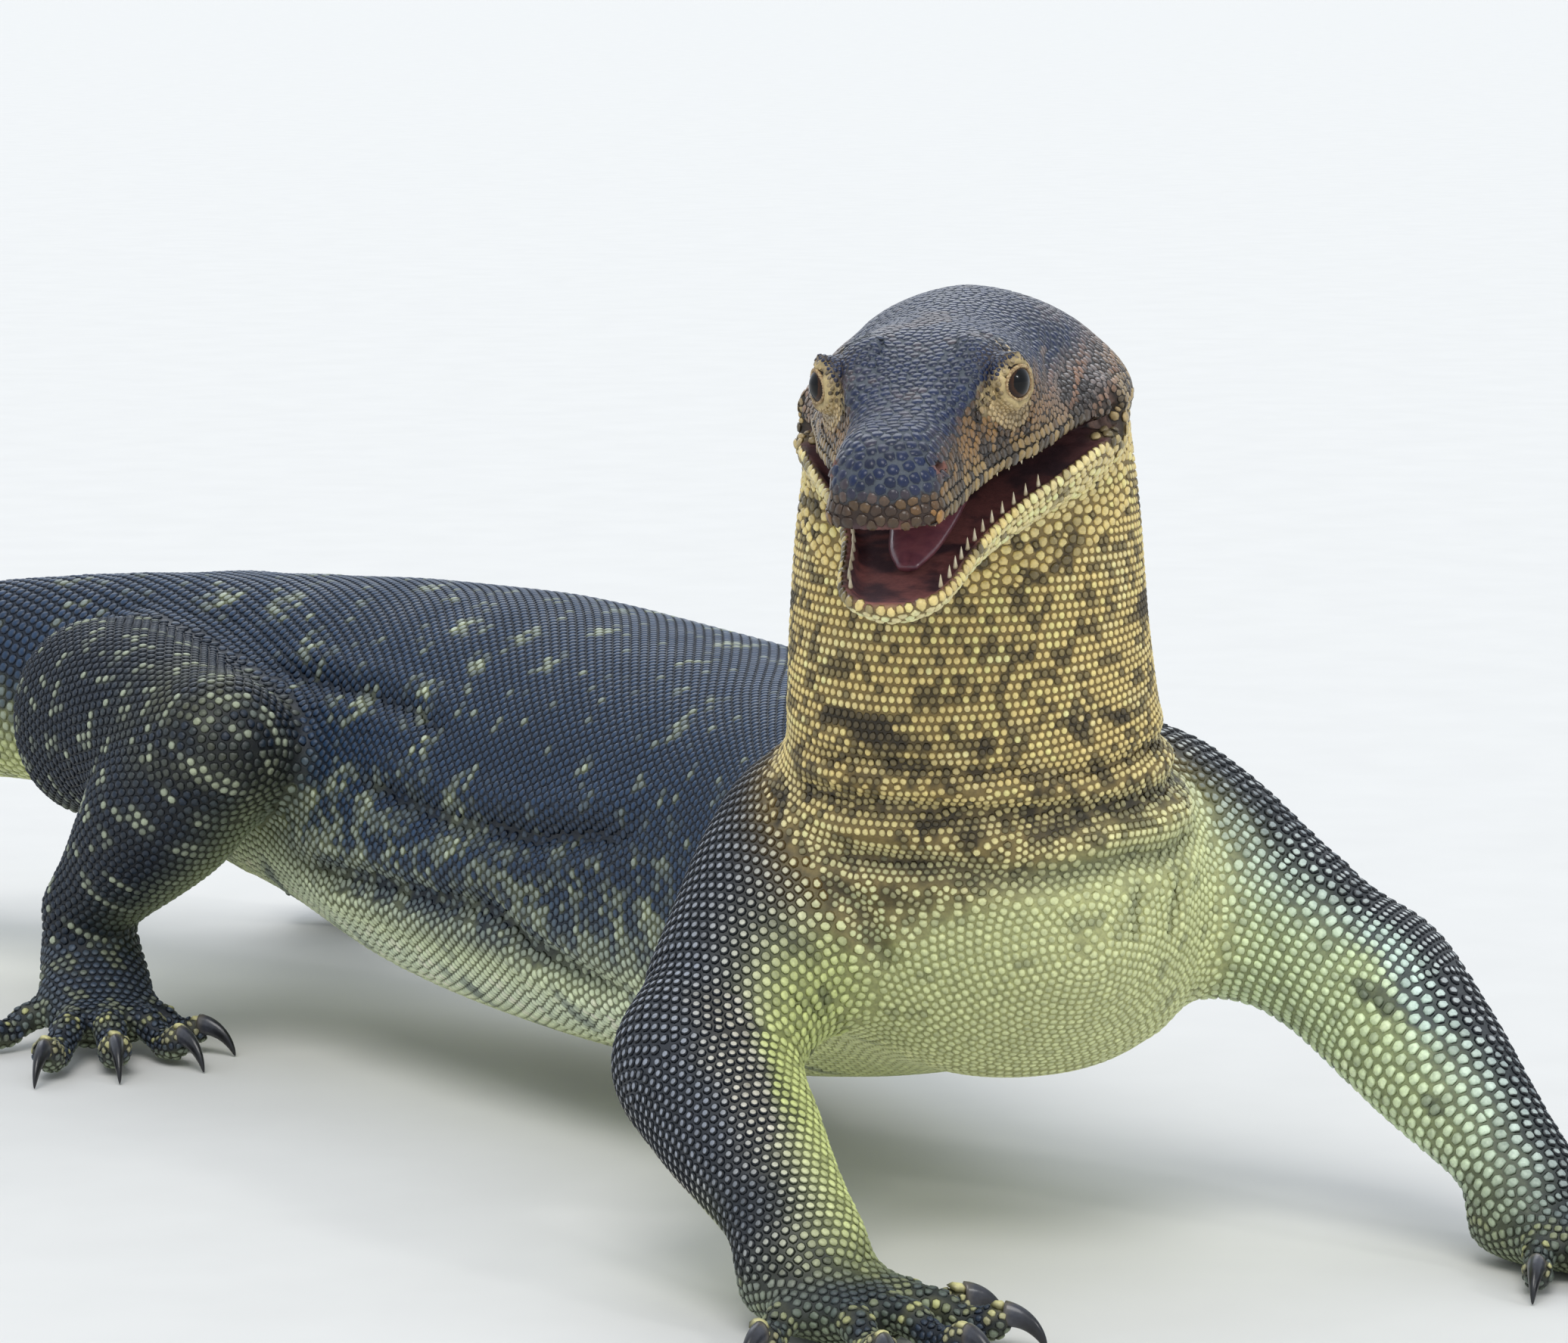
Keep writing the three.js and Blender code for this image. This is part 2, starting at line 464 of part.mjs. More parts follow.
put("neck", neck, PALE);
{
  const rings = [[14, 9, 3.0, -2.6], [30, 9, 3.2, -2.6], [50, 8.4, 3.0, -2.7], [68, 7, 2.4, -2.8], [80, 4.8, 1.8, -3.0], [86, 2.2, 1.0, -3.2]].map(([x, w, h, z]) =>
    section(place(jawF, [x, 0, z + h * 0.4]), jawF.l, jawF.v, w, h, h * 0.7, 2.2, 2.2, 12),
  );
  put("tongue", loft(rings.reverse()).subtract(jawWide).subtract(headWide), TONGUE);
}
put("chest", chest0, PALE);
put("belly", loft(spinePiece(TRUNK_CUTS[1] + GAP / 2, TRUNK_CUTS[2] - GAP / 2, SIDES, 25)), HIDE);
put("pelvis", loft(spinePiece(TRUNK_CUTS[2] + GAP / 2, TRUNK_CUTS[3] - GAP / 2, SIDES, 24)), HIDE);
for (let i = 0; i + 1 < TAIL_CUTS.length; i++)
  put("tail_" + (i + 1), loft(spinePiece(TAIL_CUTS[i] + GAP / 2, TAIL_CUTS[i + 1] - (i + 2 < TAIL_CUTS.length ? GAP / 2 : 0), 12, 44)), HIDE);

const tailWide = loft(longer(spinePiece(TRUNK_CUTS[3], TAIL_CUTS[2], 12, 44, GAP), GAP));
for (const [name, limb] of Object.entries(LIMBS)) {
  const [form, feet] = limb.kind === "fore" ? [ARM, HAND] : [LEG, FOOT];
  const [one, two, three] = limb.kind === "fore" ? ["upper_arm", "forearm", "hand"] : ["thigh", "shank", "foot"];
  const upper0 = loft(segmentRings(limb.a, limb.b, form.upper, 12));
  const upperWide = loft(longer(segmentRings(limb.a, limb.b, form.upper, 12, GAP), GAP));
  const lower0 = loft(segmentRings(limb.b, limb.c, form.lower, 12));
  const lowerWide = loft(longer(segmentRings(limb.b, limb.c, form.lower, 12, GAP), GAP));
  put(name + "_" + one, upper0.subtract(trunkWide).subtract(neckWide).subtract(tailWide), HIDE);
  put(name + "_" + two, lower0.subtract(upperWide).subtract(trunkWide), HIDE);
  const claws = feet.map((row) => loft(clawRings(limb, row, 5)));
  const clawsWide = feet.map((row) => loft(longer(clawRings(limb, row, 5, GAP), GAP)));
  let foot = wasm.Manifold.union([loft(palmRings(limb, 10)), ...feet.map((row) => loft(digitRings(limb, row, 6)))]);
  foot = foot.subtract(lowerWide);
  for (const c of clawsWide) foot = foot.subtract(c);
  put(name + "_" + three, foot, HIDE);
  claws.forEach((c, i) => put(name + "_claw_" + (i + 1), c, HORN));
}

// The origin is under the middle of the model's box, on the floor.
const box = new THREE.Box3().setFromObject(group);
const shift = [-(box.min.x + box.max.x) / 2, -(box.min.y + box.max.y) / 2];
group.position.set(Math.round(shift[0] * 10) / 10, Math.round(shift[1] * 10) / 10, 0);
const root = new THREE.Group();
root.add(group);
export default root;
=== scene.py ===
"""Water monitor lizard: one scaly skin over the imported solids, with eyes, claws, teeth and tongue, on a pale floor."""

import math
import time

import bpy
import bmesh
import numpy as np
import openvdb as vdb
from mathutils import Matrix, Vector
from mathutils.bvhtree import BVHTree
from mathutils.kdtree import KDTree


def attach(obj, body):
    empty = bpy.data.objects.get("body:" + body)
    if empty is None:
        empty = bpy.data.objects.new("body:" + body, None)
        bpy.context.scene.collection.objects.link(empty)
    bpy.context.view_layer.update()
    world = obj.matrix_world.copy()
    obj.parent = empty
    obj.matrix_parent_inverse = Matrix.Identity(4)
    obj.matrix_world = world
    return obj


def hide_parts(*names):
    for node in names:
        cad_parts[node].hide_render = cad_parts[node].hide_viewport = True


T0 = time.time()


def tick(word):
    print(f"[{time.time() - T0:6.1f} s] {word}")


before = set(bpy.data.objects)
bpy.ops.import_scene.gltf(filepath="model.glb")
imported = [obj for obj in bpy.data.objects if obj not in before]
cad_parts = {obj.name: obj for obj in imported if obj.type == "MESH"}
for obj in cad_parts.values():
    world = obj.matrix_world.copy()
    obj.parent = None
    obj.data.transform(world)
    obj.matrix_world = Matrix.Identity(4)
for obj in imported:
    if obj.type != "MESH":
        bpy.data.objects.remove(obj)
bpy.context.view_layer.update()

# ---------------------------------------------------------------- dimensions, in millimetres
SHIFT = np.array([-72.2, -556.0, 0.0])  # from the pose's own origin to the part's
SPINE = [
    [-66, 22, 82, 30, 28, 28, 2.1, 2.1],
    [-35, 22, 83, 47, 41, 40, 2.3, 2.2],
    [0, 21, 80, 54, 48, 40, 2.5, 2.3],
    [60, 19, 70, 57, 57, 43, 2.6, 2.4],
    [130, 14, 63, 63, 65, 46, 2.5, 2.4],
    [200, 9, 62, 66, 69, 47, 2.3, 2.4],
    [270, 3, 68, 63, 67, 48, 2.1, 2.4],
    [330, -3, 78, 53, 56, 46, 2.1, 2.3],
    [400, -10, 88, 42, 41, 40, 2.1, 2.2],
    [440, -14, 90, 36, 36, 34, 2.0, 2.1],
    [490, -18, 88, 30.5, 33, 29, 1.9, 2.1],
    [560, -20, 75, 25, 30, 27, 1.8, 2.1],
    [640, -18, 53, 20.5, 26.5, 24, 1.75, 2.2],
    [740, -8, 29, 16.2, 23, 20.5, 1.7, 2.3],
    [820, 3, 18.6, 13.6, 20.4, 18.2, 1.7, 2.4],
    [920, 16, 13.6, 11, 17.4, 14.2, 1.7, 2.4],
    [1030, 27, 10.8, 8.7, 14.5, 11.4, 1.7, 2.4],
    [1160, 25, 7.9, 5.9, 10.8, 8.4, 1.7, 2.4],
    [1300, 13, 5.0, 3.6, 6.9, 5.4, 1.8, 2.4],
    [1430, 0, 2.6, 1.7, 3.0, 3.0, 2.0, 2.4],
]
SHOULDER_MID = [34.6, -37.8]
NECK = [
    [22.4, -49.8, 84, 44, 34, 28],
    [14, -57, 106, 46, 33, 31],
    [6.1, -62, 132, 45.5, 31, 33],
    [1, -65.5, 158, 43.5, 29, 34],
    [-0.4, -67, 184, 41.5, 27.5, 33],
    [0, -67.3, 206, 38, 25, 26],
    [-0.3, -68.3, 219, 31, 20, 16],
]
NECK_LEFT = [[0.927, -0.375, 0], [0.573, -0.819, 0]]
HEAD_AT, HEAD_YAW, HEAD_PITCH, HEAD_ROLL = [3.6, -64.2, 214.6], 53, -10, 2
HEAD = [
    [-27, 17, 4, 11, 1.95],
    [-21, 27, 12.5, 15, 1.9],
    [-13, 33.6, 19.4, 17.6, 1.8],
    [-4, 37.8, 24, 20, 1.7],
    [8, 40, 27, 20, 1.65],
    [20, 39.6, 27.8, 14, 1.65],
    [30, 36.6, 27.8, 5, 1.72],
    [40, 32.8, 28, 1.2, 1.92],
    [50, 30, 28.6, 0.8, 2.35],
    [58, 28, 29, 0.8, 2.75],
    [66, 25.8, 28.6, 0.8, 3.0],
    [74, 22.6, 27.2, 0.8, 3.0],
    [82, 19.8, 24.4, 0.8, 2.9],
    [90, 17.8, 21.8, 0.8, 2.7],
    [100, 16.2, 19.8, 0.8, 2.6],
    [110, 15.3, 19.2, 0.8, 2.6],
    [117, 14.3, 18.6, 0.8, 2.5],
    [122, 12.8, 17, 0.8, 2.4],
    [126, 10.4, 14, 0.9, 2.3],
    [129, 6.6, 9.6, 1.0, 2.2],
    [130, 3.2, 5.6, 1.0, 2.1],
]
EYE_AT, EYE_R = [71, 18.9, 18.4], 6.5
JAW_HINGE, GAPE = [16, 0, -3], 7.5
JAW = [
    [-18, 30, 16, 0],
    [-6, 37, 20, 0],
    [6, 39.4, 21, 0],
    [16, 38, 20, 1],
    [28, 33.6, 18, 3.5],
    [40, 28.6, 16.5, 4.5],
    [52, 23.6, 15, 5],
    [64, 19.4, 13.5, 5],
    [76, 16.6, 12.2, 4.8],
    [88, 15, 11, 4.4],
    [98, 13.8, 9.6, 3.6],
    [105, 11.4, 8, 2.6],
    [109.5, 7.6, 6.2, 1.4],
    [111.5, 3.4, 3.8, 0.4],
]
FORM = {
    "fore": (
        [[0, 25, 27], [0.25, 25, 26], [0.5, 23.5, 23], [0.75, 22, 20.5], [1, 20, 19.5]],
        [[0, 20, 19.5], [0.2, 21, 19.5], [0.42, 20, 17.8], [0.65, 17.8, 15], [0.85, 16.4, 12.4], [1, 16.2, 10.8]],
    ),
    "hind": (
        [[0, 27, 30], [0.25, 27, 29], [0.5, 25.5, 26.5], [0.75, 22.5, 22], [1, 19.5, 19]],
        [[0, 18, 17.5], [0.2, 22.4, 21.6], [0.42, 23.6, 22.4], [0.65, 20.4, 19.2], [0.85, 16.4, 15.4], [1, 15.4, 12.8]],
    ),
}
DIGITS = {
    "fore": [[13, -14.5, -56, 20, 4.5], [23, -11, -28, 27, 4.8], [27, -2, 0, 31, 4.9], [24, 7.5, 21, 30, 4.8], [13, 14, 58, 21, 4.5]],
    "hind": [[22, -13, -46, 22, 4.8], [31, -9.5, -24, 29, 5.1], [35, -1.5, 0, 34, 5.3], [33, 7, 17, 41, 5.2], [14, 13.5, 55, 26, 4.8]],
}
CLAW_LENGTH = 13.5
LIMBS = {
    "fore_right": dict(side=-1, kind="fore", a=[-8, -22, 97], b=[-56.5, -32.5, 52], c=[-76, -90, 22], heading=2),
    "fore_left": dict(side=1, kind="fore", a=[78, -51, 97], b=[103, -106, 61], c=[102.5, -157, 21], heading=-8),
    "hind_right": dict(side=-1, kind="hind", a=[38, 345, 90], b=[20.6, 264, 92], c=[16, 322, 39], heading=31),
    "hind_left": dict(side=1, kind="hind", a=[108, 356, 90], b=[172, 376, 78], c=[186, 432, 34], heading=-48),
}
COAT = 0.8  # how deep the skin lies under the tops of the scales


# ---------------------------------------------------------------- helpers
def unit(v):
    v = np.asarray(v, float)
    return v / np.maximum(np.linalg.norm(v, axis=-1, keepdims=True), 1e-12)


def table_at(table, x):
    """The table's columns at x (an array), interpolated smoothly by its first column."""
    t = np.asarray(table, float)
    xs, ys = t[:, 0], t[:, 1:]
    h = np.diff(xs)
    d = np.diff(ys, axis=0) / h[:, None]
    m = np.empty_like(ys)
    m[0], m[-1] = d[0], d[-1]
    m[1:-1] = (d[:-1] * h[1:, None] + d[1:] * h[:-1, None]) / (h[1:] + h[:-1])[:, None]
    x = np.clip(np.atleast_1d(np.asarray(x, float)), xs[0], xs[-1])
    i = np.clip(np.searchsorted(xs, x, side="right") - 1, 0, len(xs) - 2)
    u = ((x - xs[i]) / h[i])[:, None]
    hh = h[i][:, None]
    return (
        (2 * u**3 - 3 * u**2 + 1) * ys[i]
        + (u**3 - 2 * u**2 + u) * hh * m[i]
        + (-2 * u**3 + 3 * u**2) * ys[i + 1]
        + (u**3 - u**2) * hh * m[i + 1]
    )


def smooth(x, a, b):
    t = np.clip((x - a) / (b - a), 0, 1)
    return t * t * (3 - 2 * t)


def bump(x, c, s):
    return np.exp(-(((x - c) / s) ** 2))


def value_noise(P, size, seed=0):
    """Smooth noise between -1 and 1, with features of the given size in mm."""
    q = np.asarray(P, float) / size + 37.3 * seed
    i = np.floor(q).astype(np.int64)
    f = q - i
    f = f * f * (3 - 2 * f)
    out = np.zeros(len(q))
    for dx in (0, 1):
        for dy in (0, 1):
            for dz in (0, 1):
                n = (i[:, 0] + dx) * 73856093 ^ (i[:, 1] + dy) * 19349663 ^ (i[:, 2] + dz) * 83492791 ^ (seed * 2654435)
                n = (n ^ (n >> 13)) * 1274126177 & 0x7FFFFFFF
                n = (n ^ (n >> 16)) & 0xFFFF
                w = (f[:, 0] if dx else 1 - f[:, 0]) * (f[:, 1] if dy else 1 - f[:, 1]) * (f[:, 2] if dz else 1 - f[:, 2])
                out += w * (n / 32767.5 - 1)
    return out


def fbm(P, size, seed=0):
    return (value_noise(P, size, seed) + 0.5 * value_noise(P, size / 2.1, seed + 1) + 0.25 * value_noise(P, size / 4.3, seed + 2)) / 1.4


# ---------------------------------------------------------------- the body's form, as rings of points
def sections(c, l, v, w, u, d, nt, nb, a):
    """Rings (count, len(a), 3) about the centres c."""
    ca, sa = np.cos(a)[None], np.sin(a)[None]
    n = np.where(sa >= 0, np.asarray(nt)[:, None], np.asarray(nb)[:, None])
    y = np.sign(ca) * np.abs(ca) ** (2 / n) * np.asarray(w)[:, None]
    z = np.sign(sa) * np.abs(sa) ** (2 / n) * np.where(sa >= 0, np.asarray(u)[:, None], np.asarray(d)[:, None])
    return c[:, None] + y[..., None] * l[:, None] + z[..., None] * v[:, None]


_s = np.arange(-70, 1434.1, 1.0)
_b = np.radians(table_at(SPINE, _s + 0.5)[:, 0])
_xy = np.cumsum(np.stack([np.sin(_b), np.cos(_b)], 1), 0)
_xy = np.vstack([[0, 0], _xy[:-1]])
_xy += np.array(SHOULDER_MID) - _xy[70]


def spine_at(s):
    s = np.atleast_1d(s)
    return np.stack([np.interp(s, _s, _xy[:, 0]), np.interp(s, _s, _xy[:, 1]), table_at(SPINE, s)[:, 1]], 1)


def spine_rings(s, a, scale=None):
    t = table_at(SPINE, s)
    k = np.ones(len(s)) if scale is None else scale
    f = unit(spine_at(np.asarray(s) - 1) - spine_at(np.asarray(s) + 1))
    l = unit(np.cross([0, 0, 1], f))
    v = np.cross(f, l)
    return sections(spine_at(s), l, v, t[:, 2] * k, t[:, 3] * k, t[:, 4] * k, t[:, 5], t[:, 6], a), f


def spine_stations(step):
    """Stations from the breast's rounded front to the tail's tip, with the scale of each ring."""
    q = np.radians(np.arange(84, 3, -7.0))
    s0, rnd = -66, 46
    front = s0 + rnd * (1 - np.sin(q))
    rest = np.arange(s0 + rnd, 1430.1, step)
    return np.concatenate([front, rest]), np.concatenate([np.cos(q) * 0.93 + 0.07, np.ones(len(rest))])


def neck_rings(a, count=37):
    n = len(NECK)
    tab = [[i, *r] for i, r in enumerate(NECK)]
    t = np.linspace(0, n - 1, count)
    g = table_at(tab, t)
    f = unit(table_at(tab, t + 0.1)[:, :3] - table_at(tab, t - 0.1)[:, :3])
    k = (t / (n - 1))[:, None]
    l = np.array(NECK_LEFT[0]) * (1 - k) + np.array(NECK_LEFT[1]) * k
    l = unit(l - f * (l * f).sum(1)[:, None])
    two = np.full(count, 2.1)
    return sections(g[:, :3], l, np.cross(f, l), g[:, 3], g[:, 4], g[:, 5], two, two, a), f


def frame_of(origin, yaw, pitch, roll):
    y, p, r = map(math.radians, (yaw, pitch, roll))
    f = np.array([-math.sin(y) * math.cos(p), -math.cos(y) * math.cos(p), math.sin(p)])
    l = unit(np.cross([0, 0, 1], f))
    v = np.cross(f, l)
    l, v = l * math.cos(r) + v * math.sin(r), v * math.cos(r) - l * math.sin(r)
    return np.array(origin, float), np.stack([f, l, v])


HO, HB = frame_of(HEAD_AT, HEAD_YAW, HEAD_PITCH, HEAD_ROLL)
_g = math.radians(-GAPE)
JO = HO + np.array(JAW_HINGE) @ HB
JB = np.stack([HB[0] * math.cos(_g) + HB[2] * math.sin(_g), HB[1], HB[2] * math.cos(_g) - HB[0] * math.sin(_g)])


def to_head(P):
    return (P - HO) @ HB.T


def to_jaw(P):
    return (P - JO) @ JB.T


def head_local(x, a):
    t = table_at(HEAD, x)
    w, top, under, n = (t[:, i][:, None] for i in range(4))
    ca, sa = np.cos(a)[None], np.sin(a)[None]
    y = np.sign(ca) * np.abs(ca) ** (2 / n) * w
    z = np.sign(sa) * np.abs(sa) ** (2 / n)
    X = np.asarray(x)[:, None] + 0 * y
    sg = np.sign(y)
    zt = z * top
    side, high = np.abs(y) / w, zt / top
    yt = y + sg * 1.6 * bump(X, 68, 11) * bump(high, 0.8, 0.22) - sg * 1.8 * bump(X, 88, 13) * bump(high, 0.52, 0.24)
    yt = yt - sg * 4.4 * bump(X, 24, 28) * bump(high, 0.46, 0.27)
    zt = zt - 1.2 * bump(X, 72, 16) * bump(side, 0, 0.45) + 1.0 * bump(X, 112, 8) * bump(side, 0.45, 0.35)
    inside = np.clip((w - 2.2 - np.abs(y)) / 3, 0, 1)
    mouth = np.clip((X - 34) / 10, 0, 1) * np.clip((127 - X) / 4, 0, 1)
    zb = z * under + inside * mouth * 3.2
    up = sa >= 0
    return np.stack([X, np.where(up, yt, y), np.where(up, zt, zb)], -1)


def jaw_local(x, a):
    t = table_at(JAW, x)
    w, under, floor = (t[:, i][:, None] for i in range(3))
    ca, sa = np.cos(a)[None], np.sin(a)[None]
    n = np.where(sa >= 0, 2.6, 2.3)
    y = np.sign(ca) * np.abs(ca) ** (2 / n) * w
    z = np.sign(sa) * np.abs(sa) ** (2 / n)
    inside = np.clip((w - 1.8 - np.abs(y)) / 3, 0, 1)
    z = np.where(sa >= 0, z * 0.9 - inside * floor, z * under)
    return np.stack([np.asarray(x)[:, None] + 0 * y, y, z], -1)


def bone_rings(a, b, tab, ang, count=15):
    a, b = np.array(a, float), np.array(b, float)
    f = unit(b - a)
    hint = [1, 0, 0] if abs(f[2]) > 0.85 else [0, 0, 1]
    l = unit(np.cross(hint, f))
    v = np.cross(f, l)
    q = np.radians([85, 70, 52, 34, 17])
    t = np.linspace(0, 1, count)
    g = table_at(tab, t)
    c = [a - f * g[0, 0] * np.sin(x) for x in q] + [a + (b - a) * x for x in t] + [b + f * g[-1, 0] * np.sin(x) for x in q[::-1]]
    r1 = np.concatenate([g[0, 0] * np.cos(q), g[:, 0], g[-1, 0] * np.cos(q[::-1])])
    r2 = np.concatenate([g[0, 1] * np.cos(q), g[:, 1], g[-1, 1] * np.cos(q[::-1])])
    m = len(c)
    n = np.full(m, 2.1)
    return sections(np.array(c), np.tile(l, (m, 1)), np.tile(v, (m, 1)), r1, r2, r2, n, n, ang), np.tile(f, (m, 1))


def foot_frame(L):
    h = math.radians(L["heading"])
    f = np.array([-math.sin(h), -math.cos(h), 0])
    return np.array([L["c"][0], L["c"][1], 0.0]), np.stack([f, np.cross([0, 0, 1], f) * L["side"], [0, 0, 1]])


def palm_rings(L, ang, count=19):
    o, B = foot_frame(L)
    z0 = L["c"][2]
    rows = (
        [[-12, 9, 7, 10.5], [-6, 14.5, 10.5, z0 * 0.56], [4, 17, 10.5, z0 * 0.5], [14, 17.5, 9, 9], [23, 16, 7.4, 7.6], [30, 10, 5.4, 5.8]]
        if L["kind"] == "fore"
        else [[-13, 9, 8, z0 * 0.5], [-6, 14, 12, z0 * 0.58], [5, 16, 12, z0 * 0.52], [16, 17, 10.5, z0 * 0.4], [27, 16.5, 8.6, 10.2], [37, 10, 6, 7.4]]
    )
    x = np.linspace(rows[0][0], rows[-1][0], count)
    g = table_at(rows, x)
    c = o + np.stack([x, 0 * x, g[:, 2]], 1) @ B
    n = np.full(count, 2.35)
    return sections(c, np.tile(B[1], (count, 1)), np.tile(B[2], (count, 1)), g[:, 0], g[:, 1], g[:, 1], n, n, ang), np.tile(B[0], (count, 1))


def digit_path(L, row, t):
    x0, y0, splay, length, r = row
    o, B = foot_frame(L)
    t = np.atleast_1d(np.asarray(t, float))
    q = np.radians(splay + np.where(t > 0.5, (t - 0.5) * splay * 0.08, 0))
    z = table_at([[-0.35, 8.5], [0, 9], [0.3, 8.8], [0.6, 5], [0.8, 5.4], [1, 9]], t)[:, 0] * (r / 4.9) * (1.08 if L["kind"] == "hind" else 1)
    return o + np.stack([x0 + np.cos(q) * length * t, y0 + np.sin(q) * length * t, z], 1) @ B


def digit_rings(L, row, ang, count=22):
    r = row[4]
    t = np.linspace(-0.3, 1, count)
    k = table_at([[-0.3, 0.9], [0.05, 1.1], [0.2, 1.0], [0.33, 1.1], [0.5, 0.94], [0.62, 0.98], [0.74, 1.0], [0.84, 1.06], [0.94, 0.98], [1, 0.8]], t)[:, 0]
    f = unit(digit_path(L, row, t + 0.05) - digit_path(L, row, t - 0.05))
    l = unit(np.cross([0, 0, 1], f))
    two = np.full(count, 2.0)
    return sections(digit_path(L, row, t), l, np.cross(f, l), r * k, r * k * 1.02, r * k * 1.02, two, two, ang), f


def claw_rings(L, row, ang, count=12):
    c0 = digit_path(L, row, 0.95)[0]
    f = unit(digit_path(L, row, 1)[0] - digit_path(L, row, 0.9)[0])
    flat = unit([f[0], f[1], 0])
    length = CLAW_LENGTH * (1.2 if L["kind"] == "hind" else 1)
    sweep = math.radians(70)
    R = length / sweep
    k = (c0[2] - 0.4) / (R * (1 - math.cos(sweep)))
    t = np.linspace(0, 1, count)
    a = sweep * t
    c = c0 + flat * (R * np.sin(a) * 0.94)[:, None] + np.array([0, 0, 1]) * (-k * R * (1 - np.cos(a)))[:, None]
    d = unit(flat * np.cos(a)[:, None] + np.array([0, 0, 1]) * (-k * np.sin(a))[:, None])
    l = unit(np.cross([0, 0, 1], d))
    r = 3.1 * (1 - t) ** 0.75 + 0.22
    two = np.full(count, 2.0)
    return sections(c, l, np.cross(d, l), r * 0.72, r, r * 0.9, two, two, ang), d


def closed_mesh(rings):
    """Points and triangles of a closed skin over rings (rows, sides, 3), facing outwards."""
    n, m, _ = rings.shape
    P = np.vstack([rings.reshape(-1, 3), rings[0].mean(0), rings[-1].mean(0)])
    i = np.arange(n - 1)[:, None] * m
    j = np.arange(m)[None]
    k = (j + 1) % m
    a, b, c, d = (i + j).ravel(), (i + k).ravel(), (i + m + k).ravel(), (i + m + j).ravel()
    e = np.arange(m)
    T = np.vstack(
        [
            np.stack([a, b, c], 1),
            np.stack([a, c, d], 1),
            np.stack([np.full(m, n * m), (e + 1) % m, e], 1),
            np.stack([np.full(m, n * m + 1), (n - 1) * m + e, (n - 1) * m + (e + 1) % m], 1),
        ]
    )
    A = P[T]
    if np.einsum("ij,ij->i", A[:, 0], np.cross(A[:, 1], A[:, 2])).sum() < 0:
        T = T[:, ::-1]
    return P, T


# ---------------------------------------------------------------- one solid from all the parts
def ring_angles(m):
    return np.arange(m) * 2 * np.pi / m


class Field:
    """A dense distance field over a box, in mm."""

    def __init__(self, lo, hi, voxel, half):
        self.v = voxel
        self.half = half
        self.i0 = np.floor(np.array(lo) / voxel).astype(int)
        self.n = np.ceil(np.array(hi) / voxel).astype(int) - self.i0 + 1
        self.a = np.full(self.n, half, np.float32)

    def part(self, P, T):
        """The distance to one closed mesh, over its own box: (slices, array)."""
        g = vdb.FloatGrid.createLevelSetFromPolygons(
            P.astype(np.float32), triangles=T.astype(np.uint32), transform=vdb.createLinearTransform(self.v), halfWidth=self.half / self.v
        )
        lo = np.maximum(np.floor((P.min(0) - self.half) / self.v).astype(int) - 1, self.i0)
        hi = np.minimum(np.ceil((P.max(0) + self.half) / self.v).astype(int) + 2, self.i0 + self.n)
        if (hi <= lo).any():
            return None
        arr = np.empty(hi - lo, np.float32)
        g.copyToArray(arr, ijk=tuple(int(x) for x in lo))
        b = lo - self.i0
        return tuple(slice(int(b[i]), int(b[i] + (hi - lo)[i])) for i in range(3)), arr

    @staticmethod
    def smin(a, b, k):
        h = np.maximum(k - np.abs(a - b), 0) / k
        return np.minimum(a, b) - h * h * (k * 0.25)

    def add(self, P, T, k):
        got = self.part(P, T)
        if got:
            sl, arr = got
            self.a[sl] = self.smin(self.a[sl], arr, k)

    def join(self, other, k):
        self.a = self.smin(self.a, other.a, k)

    def mesh(self, iso):
        g = vdb.FloatGrid()
        g.background = float(self.half)
        g.copyFromArray(self.a, ijk=tuple(int(x) for x in self.i0))
        g.transform = vdb.createLinearTransform(self.v)
        P, T, Q = g.convertToPolygons(isovalue=float(iso), adaptivity=0.0)
        return np.array(P, np.float64), np.array(T), np.array(Q)


def solid_parts():
    ang = ring_angles(72)
    s, k = spine_stations(4.0)
    out = {"spine": closed_mesh(spine_rings(s, ang, k)[0])}
    out["neck"] = closed_mesh(neck_rings(ang)[0])
    xs = np.concatenate([[-26, -23.5], np.arange(-21, 120, 2.5), np.arange(120, 129, 1.0), [129.2, 129.8]])
    half = (ring_angles(96) + np.pi / 96)
    out["head"] = closed_mesh(head_local(xs, half) @ HB + HO)
    xj = np.concatenate([[-18, -14], np.arange(-10, 104, 2.5), np.arange(104, 111, 1.0), [111.2]])
    out["jaw"] = closed_mesh(jaw_local(xj, half) @ JB + JO)
    for name, L in LIMBS.items():
        up, low = FORM[L["kind"]]
        small = ring_angles(40)
        out[name + "_upper"] = closed_mesh(bone_rings(L["a"], L["b"], up, small)[0])
        out[name + "_lower"] = closed_mesh(bone_rings(L["b"], L["c"], low, small)[0])
        out[name + "_palm"] = closed_mesh(palm_rings(L, small)[0])
        for i, row in enumerate(DIGITS[L["kind"]]):
            out[f"{name}_digit{i}"] = closed_mesh(digit_rings(L, row, ring_angles(28))[0])
    return out


PARTS = solid_parts()
tick("parts")


def body_field(voxel):
    lo = np.min([p.min(0) for p, _ in PARTS.values()], 0) - 6
    hi = np.max([p.max(0) for p, _ in PARTS.values()], 0) + 6
    F = Field(lo, hi, voxel, 14.0)
    F.add(*PARTS["spine"], 0.01)
    F.add(*PARTS["neck"], 20)
    F.add(*PARTS["head"], 9)
    F.add(*PARTS["jaw"], 6)
    for name, L in LIMBS.items():
        F.add(*PARTS[name + "_upper"], 18 if L["kind"] == "fore" else 20)
        F.add(*PARTS[name + "_lower"], 7)
        F.add(*PARTS[name + "_palm"], 7)
        for i in range(5):
            F.add(*PARTS[f"{name}_digit{i}"], 3.2)
    return F


